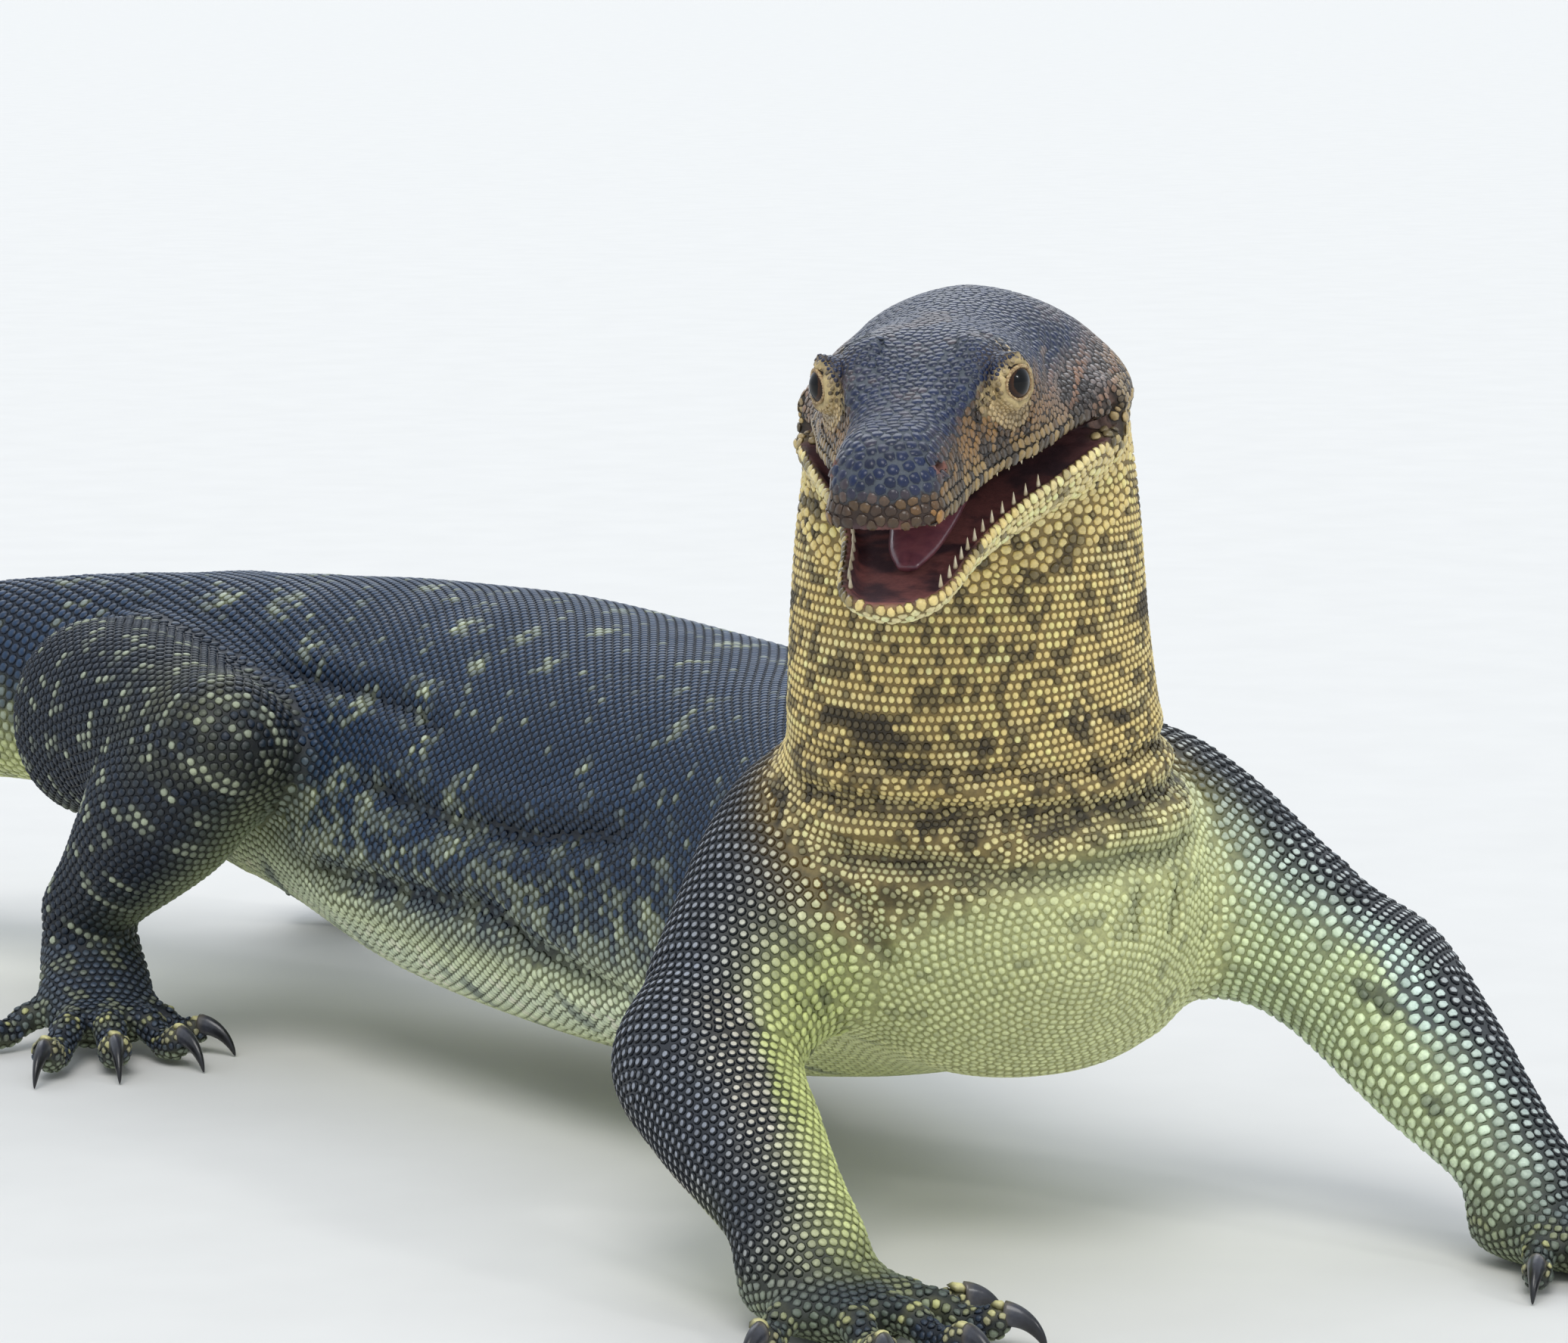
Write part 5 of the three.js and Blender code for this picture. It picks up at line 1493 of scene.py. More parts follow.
    # neck: broken dark bands and blotches
    nk = is_neck
    bl = fbm(P, 8.5, 33) + 0.55 * np.cos(2 * np.pi * (P[:, 2] + 14 * (np_ - 0.6) + 6 * fbm(P, 25, 34)) / 23.0)
    thr = 0.60 - 0.34 * (1 - smooth(np_, 0.35, 0.70))
    k = smooth(bl, thr, thr + 0.32) * nk
    k = np.maximum(k, nk * (two < 0.10) * 0.8)
    k = np.maximum(k, nk * smooth(fbm(P, 3.2, 46) - 0.22, 0, 0.15) * 0.8)
    k = k * (1 - 0.5 * (1 - smooth(t, 0.10, 0.32)) * smooth(np_, 0.4, 0.6))
    core = mixed(core, BLOTCH, 0.92 * k)
    gap = mixed(gap, BLOTCH_GAP, 0.9 * k)
    lt = smooth(fbm(P, 6, 35), 0.1, 0.5) * nk * (1 - k)
    core = mixed(core, GOLD_LIGHT, 0.5 * lt)
    core = mixed(core, GOLD, nk * (1 - smooth(np_, 0.3, 0.5)) * (one < 0.25) * 0.55)

    # head: mottling
    hd = is_head
    side = hd * (1 - topness) * ~on_jaw
    mo = fbm(H, 4.2, 36) + 0.35 * fbm(H, 11, 37) + 0.35 * (one - 0.5)
    dk = smooth(mo, -0.12, 0.32)
    dk = np.maximum(dk, smooth(hz, 10, 17) * smooth(hx, 40, 60) * 0.5)
    dk = dk * (1 - 0.45 * snout)
    core = mixed(core, FACE_DARK, 0.9 * dk * side)
    gap = mixed(gap, FACE_GAP * 0.7, 0.8 * dk * side)
    # the muzzle's brown front
    fr = hd * smooth(hx, 116, 126) * (1 - smooth(hz, 4, 8)) * ~on_jaw
    core = mixed(core, mixed(srgb(160, 112, 54), srgb(52, 34, 30), smooth(fbm(H, 6, 38) + 0.3 * (one - 0.5), -0.22, 0.22)), 0.85 * fr)
    gap = mixed(gap, srgb(54, 36, 26), 0.7 * fr)
    # temple: rusty streaks along it
    stre = smooth(np.sin((hz * 1.1 + hx * 0.22) * 0.9 + 1.2 * fbm(H, 12, 39)), 0.35, 0.9) * tmp * hd
    core = mixed(core, RUST, 0.62 * stre)
    # crown: brown haze between the dark plates, the seams worn paler
    hz_ = smooth(fbm(H, 10, 40) + 0.4 * fbm(H, 3.1, 41), 0.12, 0.6) * topness * hd
    core = mixed(core, srgb(104, 84, 68), 0.4 * hz_)
    core = mixed(core, core * 0.62, hd * topness * (one < 0.3) * 0.8)
    # lids and the folds over the eye
    eq = [eye_coordinates(H, k) for k in (1, -1)]
    q = np.minimum(eq[0][0], eq[1][0])
    ey = np.where(eq[0][0] < eq[1][0], eq[0][2], eq[1][2])
    er = np.minimum(*(np.linalg.norm(e[4], axis=1) for e in eq))
    ring = (1 - smooth(q, 1.22, 1.46)) * (er < 10)
    crescent = smooth(-ey, 0.8, 2.4) * (1 - smooth(q, 1.42, 1.92)) * (er < 11)
    streak = smooth(np.cos(2 * np.pi * (line + 2.6) / 1.9 + 0.8 * fbm(H, 5, 45)), -0.1, 0.6)
    foldz = bump(line, -1.6, 1.9) * smooth(hx, 56, 64) * (1 - smooth(hx, 80, 87)) * (hz > 12) * smooth(ay, 13, 16)
    around = (1 - smooth(er, 8.2, 11)) * hd
    core = mixed(core, FACE_DARK * 1.1, 0.55 * around * (1 - topness))
    core = mixed(core, LID, hd * np.maximum(0.95 * foldz * streak, np.maximum(0.9 * ring, 0.95 * crescent)))
    core = mixed(core, FACE_DARK * 0.8, hd * 0.8 * foldz * (1 - streak))
    gap = mixed(gap, srgb(60, 45, 32), 0.8 * around)
    gap = mixed(gap, srgb(150, 126, 84), hd * 0.8 * np.maximum(ring, crescent))
    lid = np.maximum(1 - smooth(er, 7.8, 9.5), 0) * hd
    # lower jaw: gold with dark flecks
    jf = smooth(fbm(H, 5.5, 43) + 0.3 * (one - 0.5), 0.14, 0.42) * hd * on_jaw * (1 - 0.5 * smooth(-nh[:, 2], 0.2, 0.8))
    core = mixed(core, BLOTCH, 0.85 * jf)
    gap = mixed(gap, BLOTCH_GAP, 0.7 * jf)

    # painted shade: the skin's folds darkened as if shade lay in them
    _, shade = crease_depth(P, FOLDS)
    core = mixed(core, SLATE_GAP * 1.2, 0.62 * shade)
    gap = mixed(gap, SLATE_GAP * 0.7, 0.8 * shade)
    # the pale scale over each claw
    cap = R_ROW[:, 6] > 1.5
    core = mixed(core, srgb(214, 208, 150), 0.9 * cap)
    gap = mixed(gap, srgb(120, 116, 76), 0.8 * cap)
    # every scale a little lighter or darker than the next
    f = 0.86 + 0.28 * two
    core = core * f[:, None]
    gap = gap * (0.9 + 0.2 * one)[:, None]
    core *= (1 + 0.10 * fbm(P, 35, 50))[:, None]
    return np.clip(core, 0.002, 0.9), np.clip(gap, 0.001, 0.9), np.clip(m, 0, 0.9), dict(
        topness=topness, on_jaw=on_jaw, is_head=is_head, is_spine=is_spine, is_neck=is_neck, st=st, phi=phi, limb=limb, lid=lid, D=D, Dl=Dl, arm=arm, left_arm=left_arm, band=np.clip(band * is_spine, 0, 1), cap=cap
    )


CORE, GAPC, MIDM, INFO = markings()
tick("markings")


# ---------------------------------------------------------------- the scales as meshes
def build_scales():
    """Points (n, 1+2K, 3), the mean radius of each scale, and how far out its middle ring lies, as a part of the
    radius.
    """
    K = NDIR
    R = CELL_R.copy()
    r_in = R.min(1, keepdims=True)
    head = INFO["is_head"] & ~INFO["on_jaw"]
    plate = (INFO["topness"] * head)[:, None]
    rnd = np.where(head, 0.10, 0.34)[:, None]
    r_mean = R.mean(1, keepdims=True)
    R = R * (1 - rnd) + np.minimum(R, r_mean) * rnd
    R = R * np.where(head[:, None], 0.975, 0.95)
    belly = (INFO["is_spine"] & (INFO["phi"] > 0.78))[:, None]
    lid = INFO["lid"][:, None]
    arm = INFO["arm"][:, None]
    h = np.clip(r_mean, 0.4, 2.2) * np.where(head[:, None], 0.17, np.where(INFO["is_spine"][:, None], 0.34, 0.42))
    h = np.where(belly, 0.22 * r_mean, h)
    h = h * (1 - 0.3 * lid)
    ca, sa = np.cos(CELL_A)[None], np.sin(CELL_A)[None]
    fm = np.where(head[:, None], 0.86, np.where(belly, 0.80, 0.68))
    fm = np.where(arm, 0.62, fm)
    gm = np.where(head[:, None], 0.93, np.where(belly, 0.85, np.where(arm, 0.80, 0.72)))

    def at(frac, lift):
        x, y = R * ca * frac, R * sa * frac
        drop = 0.5 * (CURV_T[:, None] * x**2 + CURV_B[:, None] * y**2)
        return (
            R_POS[:, None]
            + x[..., None] * G_T[:, None]
            + y[..., None] * G_B[:, None]
            + (lift - drop)[..., None] * G_N[:, None]
        )

    rise = 1 + 0.18 * ca  # the hind edge of a scale stands a little higher
    rim = at(1.0, np.full_like(R, -0.16))
    mid = at(fm, h * gm * rise)
    apex = R_POS + G_N * h + G_T * (0.10 * r_mean)
    V = np.concatenate([apex[:, None], mid, rim], 1)
    return V, r_mean[:, 0], fm + 0 * R


SCALE_V, SCALE_R, SCALE_FM = build_scales()
SCALE_V[..., 2] = np.maximum(SCALE_V[..., 2], 0.02)
# where the middle of a scale gives way to its edge, as a part of its radius, and how softly; drawn in along the row's axis
_arm, _hd, _top, _Dl = (INFO[k].astype(float) for k in ("arm", "is_head", "topness", "Dl"))
EDGE_C = np.full(len(R_POS), 0.80)
EDGE_C = np.where(INFO["is_spine"], 0.82 - 0.10 * INFO["D"], EDGE_C)
EDGE_C = np.where(INFO["is_neck"], 0.80, EDGE_C)
EDGE_C = np.where(INFO["is_head"], 0.90, EDGE_C)
EDGE_C = np.where(INFO["arm"], 0.84 - 0.30 * smooth(_Dl, 0.05, 0.75), EDGE_C)
EDGE_C = np.where(INFO["left_arm"], 1.06 - 0.46 * smooth(_Dl, 0.3, 0.95), EDGE_C)
EDGE_C = EDGE_C + 0.06 * INFO["band"]
EDGE_W = np.where(INFO["arm"], 0.24, np.where(INFO["is_head"], 0.16, 0.42))
EDGE_ROW = np.where(INFO["arm"], np.where(INFO["left_arm"], 0.30, 0.04), np.where(INFO["is_head"], 0.0, 0.08))
_k = np.arange(NDIR)
_k2 = (_k + 1) % NDIR
SCALE_F = np.vstack(
    [
        np.stack([np.zeros(NDIR, int), 1 + _k, 1 + _k2], 1),
        np.stack([1 + _k, 1 + NDIR + _k, 1 + NDIR + _k2], 1),
        np.stack([1 + _k, 1 + NDIR + _k2, 1 + _k2], 1),
        np.stack([np.full(NDIR - 2, 1 + NDIR), 1 + NDIR + _k[2:], 1 + NDIR + _k[1:-1]], 1),
    ]
)


def atlas():
    """Where each root lies on an unwrap of the skin: way round and way along, part by part."""
    u = R_ROW[:, 7].copy()
    v = R_ROW[:, 6].copy()
    H = to_head(R_POS)
    hd = INFO["is_head"]
    u[hd] = (np.arctan2(H[hd, 1], H[hd, 2] - 4) / (2 * np.pi)) % 1.0
    v[hd] = np.clip((H[hd, 0] + 24) / 160, 0, 1)
    return u, v


def scale_pieces():
    groups = []
    p = R_PART
    hd = INFO["is_head"]
    groups.append(("coat_head", hd, None))
    groups.append(("coat_neck", INFO["is_neck"], None))
    sp = np.where(INFO["is_spine"])[0]
    order = sp[np.argsort(INFO["st"][sp], kind="stable")]
    step = 6300
    cuts = int(np.ceil(len(order) / step))
    for i, part in enumerate(np.array_split(order, cuts)):
        mask = np.zeros(len(p), bool)
        mask[part] = True
        groups.append((f"coat_body_{i + 1}", mask, None))
    for name in LIMBS:
        b = PART_NO[name + "_upper"]
        groups.append((f"coat_{name}", (p >= b) & (p < b + 8), None))
    return groups


def to_metres(P):
    return (P + SHIFT) * 0.001


def colour_attribute(me, rgb, name="Col"):
    at = me.attributes.new(name, "FLOAT_COLOR", "POINT")
    c = np.ones((len(me.vertices), 4), np.float32)
    c[:, :3] = rgb
    at.data.foreach_set("color", c.ravel())


def make_coat(material):
    u, v = atlas()
    K = NDIR
    out = []
    total = 0
    for name, mask, _ in scale_pieces():
        idx = np.where(mask)[0]
        if not len(idx):
            continue
        V = SCALE_V[idx].reshape(-1, 3)
        F = (SCALE_F[None] + (np.arange(len(idx)) * (1 + 2 * K))[:, None, None]).reshape(-1, 3)
        me = mesh_from_arrays(name, to_metres(V), F)
        colour_attribute(me, np.clip(np.repeat(CORE[idx], 1 + 2 * K, 0), 0, 0.95))
        colour_attribute(me, np.clip(np.repeat(GAPC[idx], 1 + 2 * K, 0), 0, 0.95), "Gap")
        # how far out each point is against where the pale middle ends
        c, w = EDGE_C[idx][:, None] * (1 - EDGE_ROW[idx][:, None] * np.cos(CELL_A)[None] ** 2), EDGE_W[idx][:, None]
        e = np.concatenate([(0 - c.mean(1, keepdims=True)) / w, (SCALE_FM[idx] - c) / w, (1 - c) / w], 1) + 0.5
        at = me.attributes.new("Edge", "FLOAT", "POINT")
        at.data.foreach_set("value", e.astype(np.float32).ravel())
        # the patch of each scale in the unwrap, at its root
        uu, vv = u[idx].copy(), v[idx].copy()
        parts = R_PART[idx]
        names = np.unique(parts)
        size = np.array([np.sqrt((parts == q).sum()) for q in names])
        size = np.maximum(size / size.sum(), 0.03)
        size /= size.sum()
        lo = 0.01
        for q, hgt in zip(names, size):
            on = parts == q
            a, b = vv[on].min(), vv[on].max()
            vv[on] = lo + 0.004 + (vv[on] - a) / max(b - a, 1e-6) * (hgt * 0.98 - 0.008)
            lo += hgt * 0.98
        uu = 0.01 + uu * 0.98
        ring = np.concatenate([[0.0], np.full(K, 0.62), np.full(K, 1.0)])
        ang = np.concatenate([[0.0], CELL_A, CELL_A])
        pu = uu[:, None] + 0.0015 * ring * np.sin(ang)
        pv = vv[:, None] + 0.0015 * ring * np.cos(ang)
        uv = np.stack([pu, pv], -1).reshape(-1, 2)
        lay = me.uv_layers.new(name="OFBake")
        lay.data.foreach_set("uv", uv[F.ravel()].astype(np.float32).ravel())
        ob = bpy.data.objects.new(name, me)
        bpy.context.collection.objects.link(ob)
        me.materials.append(material)
        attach(ob, "root")
        total += len(F)
        print(name, len(idx), "scales", len(F), "triangles")
        out.append(ob)
    tick(f"coat: {total} triangles")
    return out


# ---------------------------------------------------------------- materials
def shader(name, rough=0.5, base=None, **sockets):
    mat = bpy.data.materials.new(name)
    mat.use_nodes = True
    nt = mat.node_tree
    b = nt.nodes["Principled BSDF"]
    b.inputs["Roughness"].default_value = rough
    if base is not None:
        b.inputs["Base Color"].default_value = (*base, 1)
    for k, v in sockets.items():
        b.inputs[k.replace("_", " ")].default_value = v
    return mat, nt, b


def add(nt, kind, **values):
    n = nt.nodes.new(kind)
    for k, v in values.items():
        if k in n.inputs:
            n.inputs[k].default_value = v
        else:
            setattr(n, k, v)
    return n


def noise_node(nt, scale, detail=4.0, rough=0.55):
    tc = nt.nodes.get("place") or add(nt, "ShaderNodeTexCoord", name="place")
    n = add(nt, "ShaderNodeTexNoise")
    n.inputs["Scale"].default_value = scale
    n.inputs["Detail"].default_value = detail
    n.inputs["Roughness"].default_value = rough
    nt.links.new(tc.outputs["Object"], n.inputs["Vector"])
    return n


def ramp(nt, source, stops):
    r = nt.nodes.new("ShaderNodeValToRGB")
    e = r.color_ramp.elements
    while len(e) < len(stops):
        e.new(0.5)
    for el, (pos, col) in zip(e, stops):
        el.position = pos
        el.color = (*col, 1) if len(col) == 3 else col
    nt.links.new(source, r.inputs["Fac"])
    return r


def hide_material(name, rough_lo, rough_hi, bump_strength, coat=0.0, shine=0.45, edged=True):
    mat, nt, b = shader(name)
    at = add(nt, "ShaderNodeAttribute", attribute_name="Col")
    colour = at.outputs["Color"]
    if edged:
        seam = add(nt, "ShaderNodeAttribute", attribute_name="Gap")
        far = add(nt, "ShaderNodeAttribute", attribute_name="Edge")
        ease = add(nt, "ShaderNodeMapRange", interpolation_type="SMOOTHSTEP")
        nt.links.new(far.outputs["Fac"], ease.inputs["Value"])
        both = add(nt, "ShaderNodeMix", data_type="RGBA")
        nt.links.new(ease.outputs["Result"], both.inputs["Factor"])
        nt.links.new(colour, both.inputs["A"])
        nt.links.new(seam.outputs["Color"], both.inputs["B"])
        colour = both.outputs["Result"]
    fine = noise_node(nt, 900, 3)
    grey = ramp(nt, fine.outputs["Fac"], [(0.25, (0.72, 0.72, 0.72)), (0.75, (1.16, 1.14, 1.1))])
    mul = add(nt, "ShaderNodeMix", data_type="RGBA", blend_type="MULTIPLY")
    mul.inputs["Factor"].default_value = 1.0
    nt.links.new(colour, mul.inputs["A"])
    nt.links.new(grey.outputs["Color"], mul.inputs["B"])
    nt.links.new(mul.outputs["Result"], b.inputs["Base Color"])
    wide = noise_node(nt, 60, 3)
    rr = ramp(nt, wide.outputs["Fac"], [(0.3, (rough_lo,) * 3), (0.7, (rough_hi,) * 3)])
    nt.links.new(rr.outputs["Color"], b.inputs["Roughness"])
    bm = add(nt, "ShaderNodeBump")
    bm.inputs["Strength"].default_value = bump_strength
    bm.inputs["Distance"].default_value = 0.0002
    grain = noise_node(nt, 2600, 2)
    nt.links.new(grain.outputs["Fac"], bm.inputs["Height"])
    nt.links.new(bm.outputs["Normal"], b.inputs["Normal"])
    b.inputs["Specular IOR Level"].default_value = shine
    if coat:
        b.inputs["Coat Weight"].default_value = coat
        b.inputs["Coat Roughness"].default_value = 0.15
    return mat


HIDE = hide_material("scaled_hide", 0.36, 0.52, 0.25)
HIDE_HEAD = hide_material("scaled_head", 0.30, 0.46, 0.25, coat=0.34, shine=0.34)
SKIN = hide_material("hide_ground", 0.5, 0.68, 0.4, edged=False)


# ---------------------------------------------------------------- the skin
def make_skin():
    P, F = SP, SF
    N = vertex_normals(P, F)
    t = tree_of(R_POS)
    near = np.empty(len(P), int)
    dist = np.empty(len(P))
    for i, p in enumerate(P.tolist()):
        _, near[i], dist[i] = t.find(p)
    col = mixed(GAPC[near], CORE[near], 0.12) * 0.9
    # the mouth's lining
    inside = mouth_inside(P, N)
    H = to_head(P)
    J = to_jaw(P)
    soft = np.zeros(len(P))
    soft[inside] = 1
    for _ in range(2):
        soft = neighbour_mean(soft[:, None], F, len(P))[:, 0]
    flesh = mixed(srgb(150, 96, 92), srgb(84, 60, 66), smooth(fbm(H, 6, 60), -0.3, 0.5))
    # painted shade: the lining darkens towards the back of the mouth
    throat_shade = 1 - smooth(H[:, 0], 30, 80)
    flesh = mixed(flesh, srgb(52, 34, 38), 0.8 * throat_shade)
    col = mixed(col, flesh, soft)
    for side in (1, -1):
        q, ex, ey, ez, d = eye_coordinates(H, side)
        near_eye = (ez > 0) & (np.linalg.norm(d, axis=1) < 13)
        rimc = mixed(srgb(206, 184, 134), srgb(128, 100, 66), smooth(fbm(H, 2.5, 61), 0.0, 0.6))
        col = mixed(col, rimc, 0.9 * near_eye * (1 - smooth(q, 1.35, 1.6)))
        # painted shade: nearly black where the lids tuck in against the eyeball
        col = mixed(col, srgb(14, 11, 10), near_eye * (1 - smooth(q, 0.97, 1.07)))
        dn = np.linalg.norm((H - np.array([117.5, 12.4 * side, 11.2])) * [1 / 2.6, 1 / 5, 1 / 1.9], axis=1)
        col = mixed(col, srgb(150, 98, 84), 0.7 * (1 - smooth(dn, 1.0, 1.5)))
        # painted shade: the nostril's opening nearly black
        col = mixed(col, srgb(20, 14, 13), 1 - smooth(dn, 0.6, 1.0))
        de = H - np.array([22.5, 36.0 * side, -2.5])
        qe = np.hypot(de[:, 0] / 3.9, de[:, 2] / 6.2)
        m = (H[:, 1] * side > 18)
        col = mixed(col, mixed(srgb(126, 98, 86), srgb(84, 62, 54), smooth(fbm(H, 2.2, 62), -0.2, 0.4)), m * (1 - smooth(qe, 0.75, 1.0)))
        # painted shade: a dark ring on the inner wall of the ear's recess
        col = mixed(col, srgb(30, 24, 22), m * np.maximum(bump(qe, 0.98, 0.2), 0) * 0.9)
    me = mesh_from_arrays("skin", to_metres(P), F)
    colour_attribute(me, np.clip(col, 0, 0.9))
    ob = bpy.data.objects.new("skin", me)
    bpy.context.collection.objects.link(ob)
    me.materials.append(SKIN)
    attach(ob, "root")
    flesh_nodes = ["head", "lower_jaw", "neck", "chest", "belly", "pelvis"] + [f"tail_{i}" for i in range(1, 7)]
    for name, L in LIMBS.items():
        w = ("upper_arm", "forearm", "hand") if L["kind"] == "fore" else ("thigh", "shank", "foot")
        flesh_nodes += [f"{name}_{x}" for x in w]
    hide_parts(*flesh_nodes)
    return ob


# ---------------------------------------------------------------- eyes, claws, teeth, tongue
def eye_material():
    mat, nt, b = shader("eye_gloss", 0.2, Coat_Weight=0.3, Coat_Roughness=0.03, Specular_IOR_Level=0.12)
    tc = add(nt, "ShaderNodeTexCoord")
    sep = add(nt, "ShaderNodeSeparateXYZ")
    nt.links.new(tc.outputs["Object"], sep.inputs["Vector"])
    comb = add(nt, "ShaderNodeCombineXYZ")
    nt.links.new(sep.outputs["X"], comb.inputs["X"])
    nt.links.new(sep.outputs["Y"], comb.inputs["Y"])
    ln = add(nt, "ShaderNodeVectorMath", operation="LENGTH")
    nt.links.new(comb.outputs["Vector"], ln.inputs[0])
    sc = add(nt, "ShaderNodeMath", operation="MULTIPLY")
    sc.inputs[1].default_value = 1000 / 6.5
    nt.links.new(ln.outputs["Value"], sc.inputs[0])
    n = add(nt, "ShaderNodeTexNoise")
    n.inputs["Scale"].default_value = 900
    n.inputs["Detail"].default_value = 5
    nt.links.new(tc.outputs["Object"], n.inputs["Vector"])
    wob = add(nt, "ShaderNodeMath", operation="MULTIPLY_ADD")
    wob.inputs[1].default_value = 0.10
    wob.inputs[2].default_value = -0.05
    nt.links.new(n.outputs["Fac"], wob.inputs[0])
    sm = add(nt, "ShaderNodeMath", operation="ADD")
    nt.links.new(sc.outputs[0], sm.inputs[0])
    nt.links.new(wob.outputs[0], sm.inputs[1])
    r = ramp(
        nt,
        sm.outputs[0],
        [
            (0.0, tuple(srgb(3, 3, 4))),
            (0.42, tuple(srgb(4, 4, 5))),
            (0.46, tuple(srgb(62, 38, 22))),
            (0.52, tuple(srgb(50, 30, 19))),
            (0.60, tuple(srgb(34, 21, 15))),
            (0.72, tuple(srgb(10, 8, 8))),
        ],
    )
    nt.links.new(r.outputs["Color"], b.inputs["Base Color"])
    return mat


def make_eyes():
    mat = eye_material()
    for side, node in ((1, "eye_left"), (-1, "eye_right")):
        c, A, f, u = EYES[side]
        bm = bmesh.new()
        bmesh.ops.create_uvsphere(bm, u_segments=48, v_segments=32, radius=EYE_R * 0.001)
        for v in bm.verts:  # the clear front bulges a little
            r = math.hypot(v.co.x, v.co.y) * 1000
            if v.co.z > 0 and r < 4.2:
                v.co.z += 0.00055 * math.cos(r / 4.2 * math.pi / 2) ** 1.2
        me = bpy.data.meshes.new(node + "_ball")
        bm.to_mesh(me)
        bm.free()
        me.polygons.foreach_set("use_smooth", [True] * len(me.polygons))
        me.materials.append(mat)
        ob = bpy.data.objects.new(node + "_ball", me)
        bpy.context.collection.objects.link(ob)
        ax = A @ HB
        up = u @ HB
        X = np.cross(up, ax)
        M = Matrix([[X[0], up[0], ax[0], 0], [X[1], up[1], ax[1], 0], [X[2], up[2], ax[2], 0], [0, 0, 0, 1]])
        M.translation = Vector(to_metres(c @ HB + HO))
        ob.matrix_world = M
        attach(ob, "root")
        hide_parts(node)


def make_lid_rims():
    """The beaded edge of each eye's lids."""
    mat, nt, b = shader("lid_edge", 0.35)
    n = noise_node(nt, 1500, 3)
    r = ramp(nt, n.outputs["Fac"], [(0.3, tuple(srgb(206, 184, 138))), (0.55, tuple(srgb(150, 120, 80))), (0.8, tuple(srgb(70, 52, 38)))])
    nt.links.new(r.outputs["Color"], b.inputs["Base Color"])
    for side, node in ((1, "left"), (-1, "right")):
        c, A, f, u = EYES[side]
        m = 132
        t = np.arange(m) * 2 * np.pi / m
        x = EYE_OPEN[0] * np.cos(t)
        y = np.where(np.sin(t) > 0, EYE_OPEN[1], EYE_OPEN[2]) * np.sin(t)
        R = EYE_R * 1.06
        dirs = unit(x[:, None] * f + y[:, None] * u + np.sqrt(np.maximum(R * R - x**2 - y**2, 1))[:, None] * A)
        mid = c + dirs * (EYE_R + 0.16)
        bead = 0.36 + 0.07 * np.cos(t * 36) + 0.10 * (np.sin(t) > 0)
        ring = []
        tang = unit(np.roll(mid, -1, 0) - np.roll(mid, 1, 0))
        side_v = np.cross(tang, dirs)
        a = ring_angles(9)
        ring = mid[:, None] + bead[:, None, None] * (np.cos(a)[None, :, None] * side_v[:, None] + np.sin(a)[None, :, None] * dirs[:, None])
        P = ring.reshape(-1, 3) @ HB + HO
        i, j = np.meshgrid(np.arange(m), np.arange(9), indexing="ij")
        i2, j2 = (i + 1) % m, (j + 1) % 9
        q = [(i * 9 + j).ravel(), (i2 * 9 + j).ravel(), (i2 * 9 + j2).ravel(), (i * 9 + j2).ravel()]
        F = np.vstack([np.stack([q[0], q[1], q[2]], 1), np.stack([q[0], q[2], q[3]], 1)])
        F = outward(P - P.mean(0), F)
        me = mesh_from_arrays(f"lid_edge_{node}", to_metres(P), F)
        me.materials.append(mat)
        ob = bpy.data.objects.new(f"lid_edge_{node}", me)
        bpy.context.collection.objects.link(ob)
        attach(ob, "root")


def make_claws():
    mat, nt, b = shader("claw_horn", 0.3, Coat_Weight=0.2, Coat_Roughness=0.2)
    at = add(nt, "ShaderNodeAttribute", attribute_name="Col")
    streak = noise_node(nt, 700, 4)
    grey = ramp(nt, streak.outputs["Fac"], [(0.3, (0.7, 0.7, 0.72)), (0.7, (1.25, 1.22, 1.2))])
    mul = add(nt, "ShaderNodeMix", data_type="RGBA", blend_type="MULTIPLY")
    mul.inputs["Factor"].default_value = 1.0
    nt.links.new(at.outputs["Color"], mul.inputs["A"])
    nt.links.new(grey.outputs["Color"], mul.inputs["B"])
    nt.links.new(mul.outputs["Result"], b.inputs["Base Color"])
    bm = add(nt, "ShaderNodeBump")
    bm.inputs["Strength"].default_value = 0.3
    bm.inputs["Distance"].default_value = 0.0002
    nt.links.new(streak.outputs["Fac"], bm.inputs["Height"])
    nt.links.new(bm.outputs["Normal"], b.inputs["Normal"])
    for name, L in LIMBS.items():
        Ps, Fs, Cs, off = [], [], [], 0
        for row in DIGITS[L["kind"]]:
            R, _ = claw_rings(L, row, ring_angles(20), 22)
            P, F = closed_mesh(R)
            t = np.concatenate([np.repeat(np.linspace(0, 1, 22), 20), [0, 1]])
            c = mixed(srgb(62, 64, 72), srgb(20, 20, 24), smooth(t, 0.05, 0.6))
            c = mixed(c, srgb(120, 112, 96), 0.5 * (1 - smooth(t, 0.0, 0.16)))
            P[:, 2] = np.maximum(P[:, 2], 0.02)
            Ps.append(P)
            Fs.append(F + off)
            Cs.append(c)
            off += len(P)
        me = mesh_from_arrays(f"claws_{name}", to_metres(np.vstack(Ps)), np.vstack(Fs))
        colour_attribute(me, np.vstack(Cs))
        me.materials.append(mat)
        ob = bpy.data.objects.new(f"claws_{name}", me)
        bpy.context.collection.objects.link(ob)
        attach(ob, "root")
        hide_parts(*[f"{name}_claw_{i}" for i in range(1, 6)])


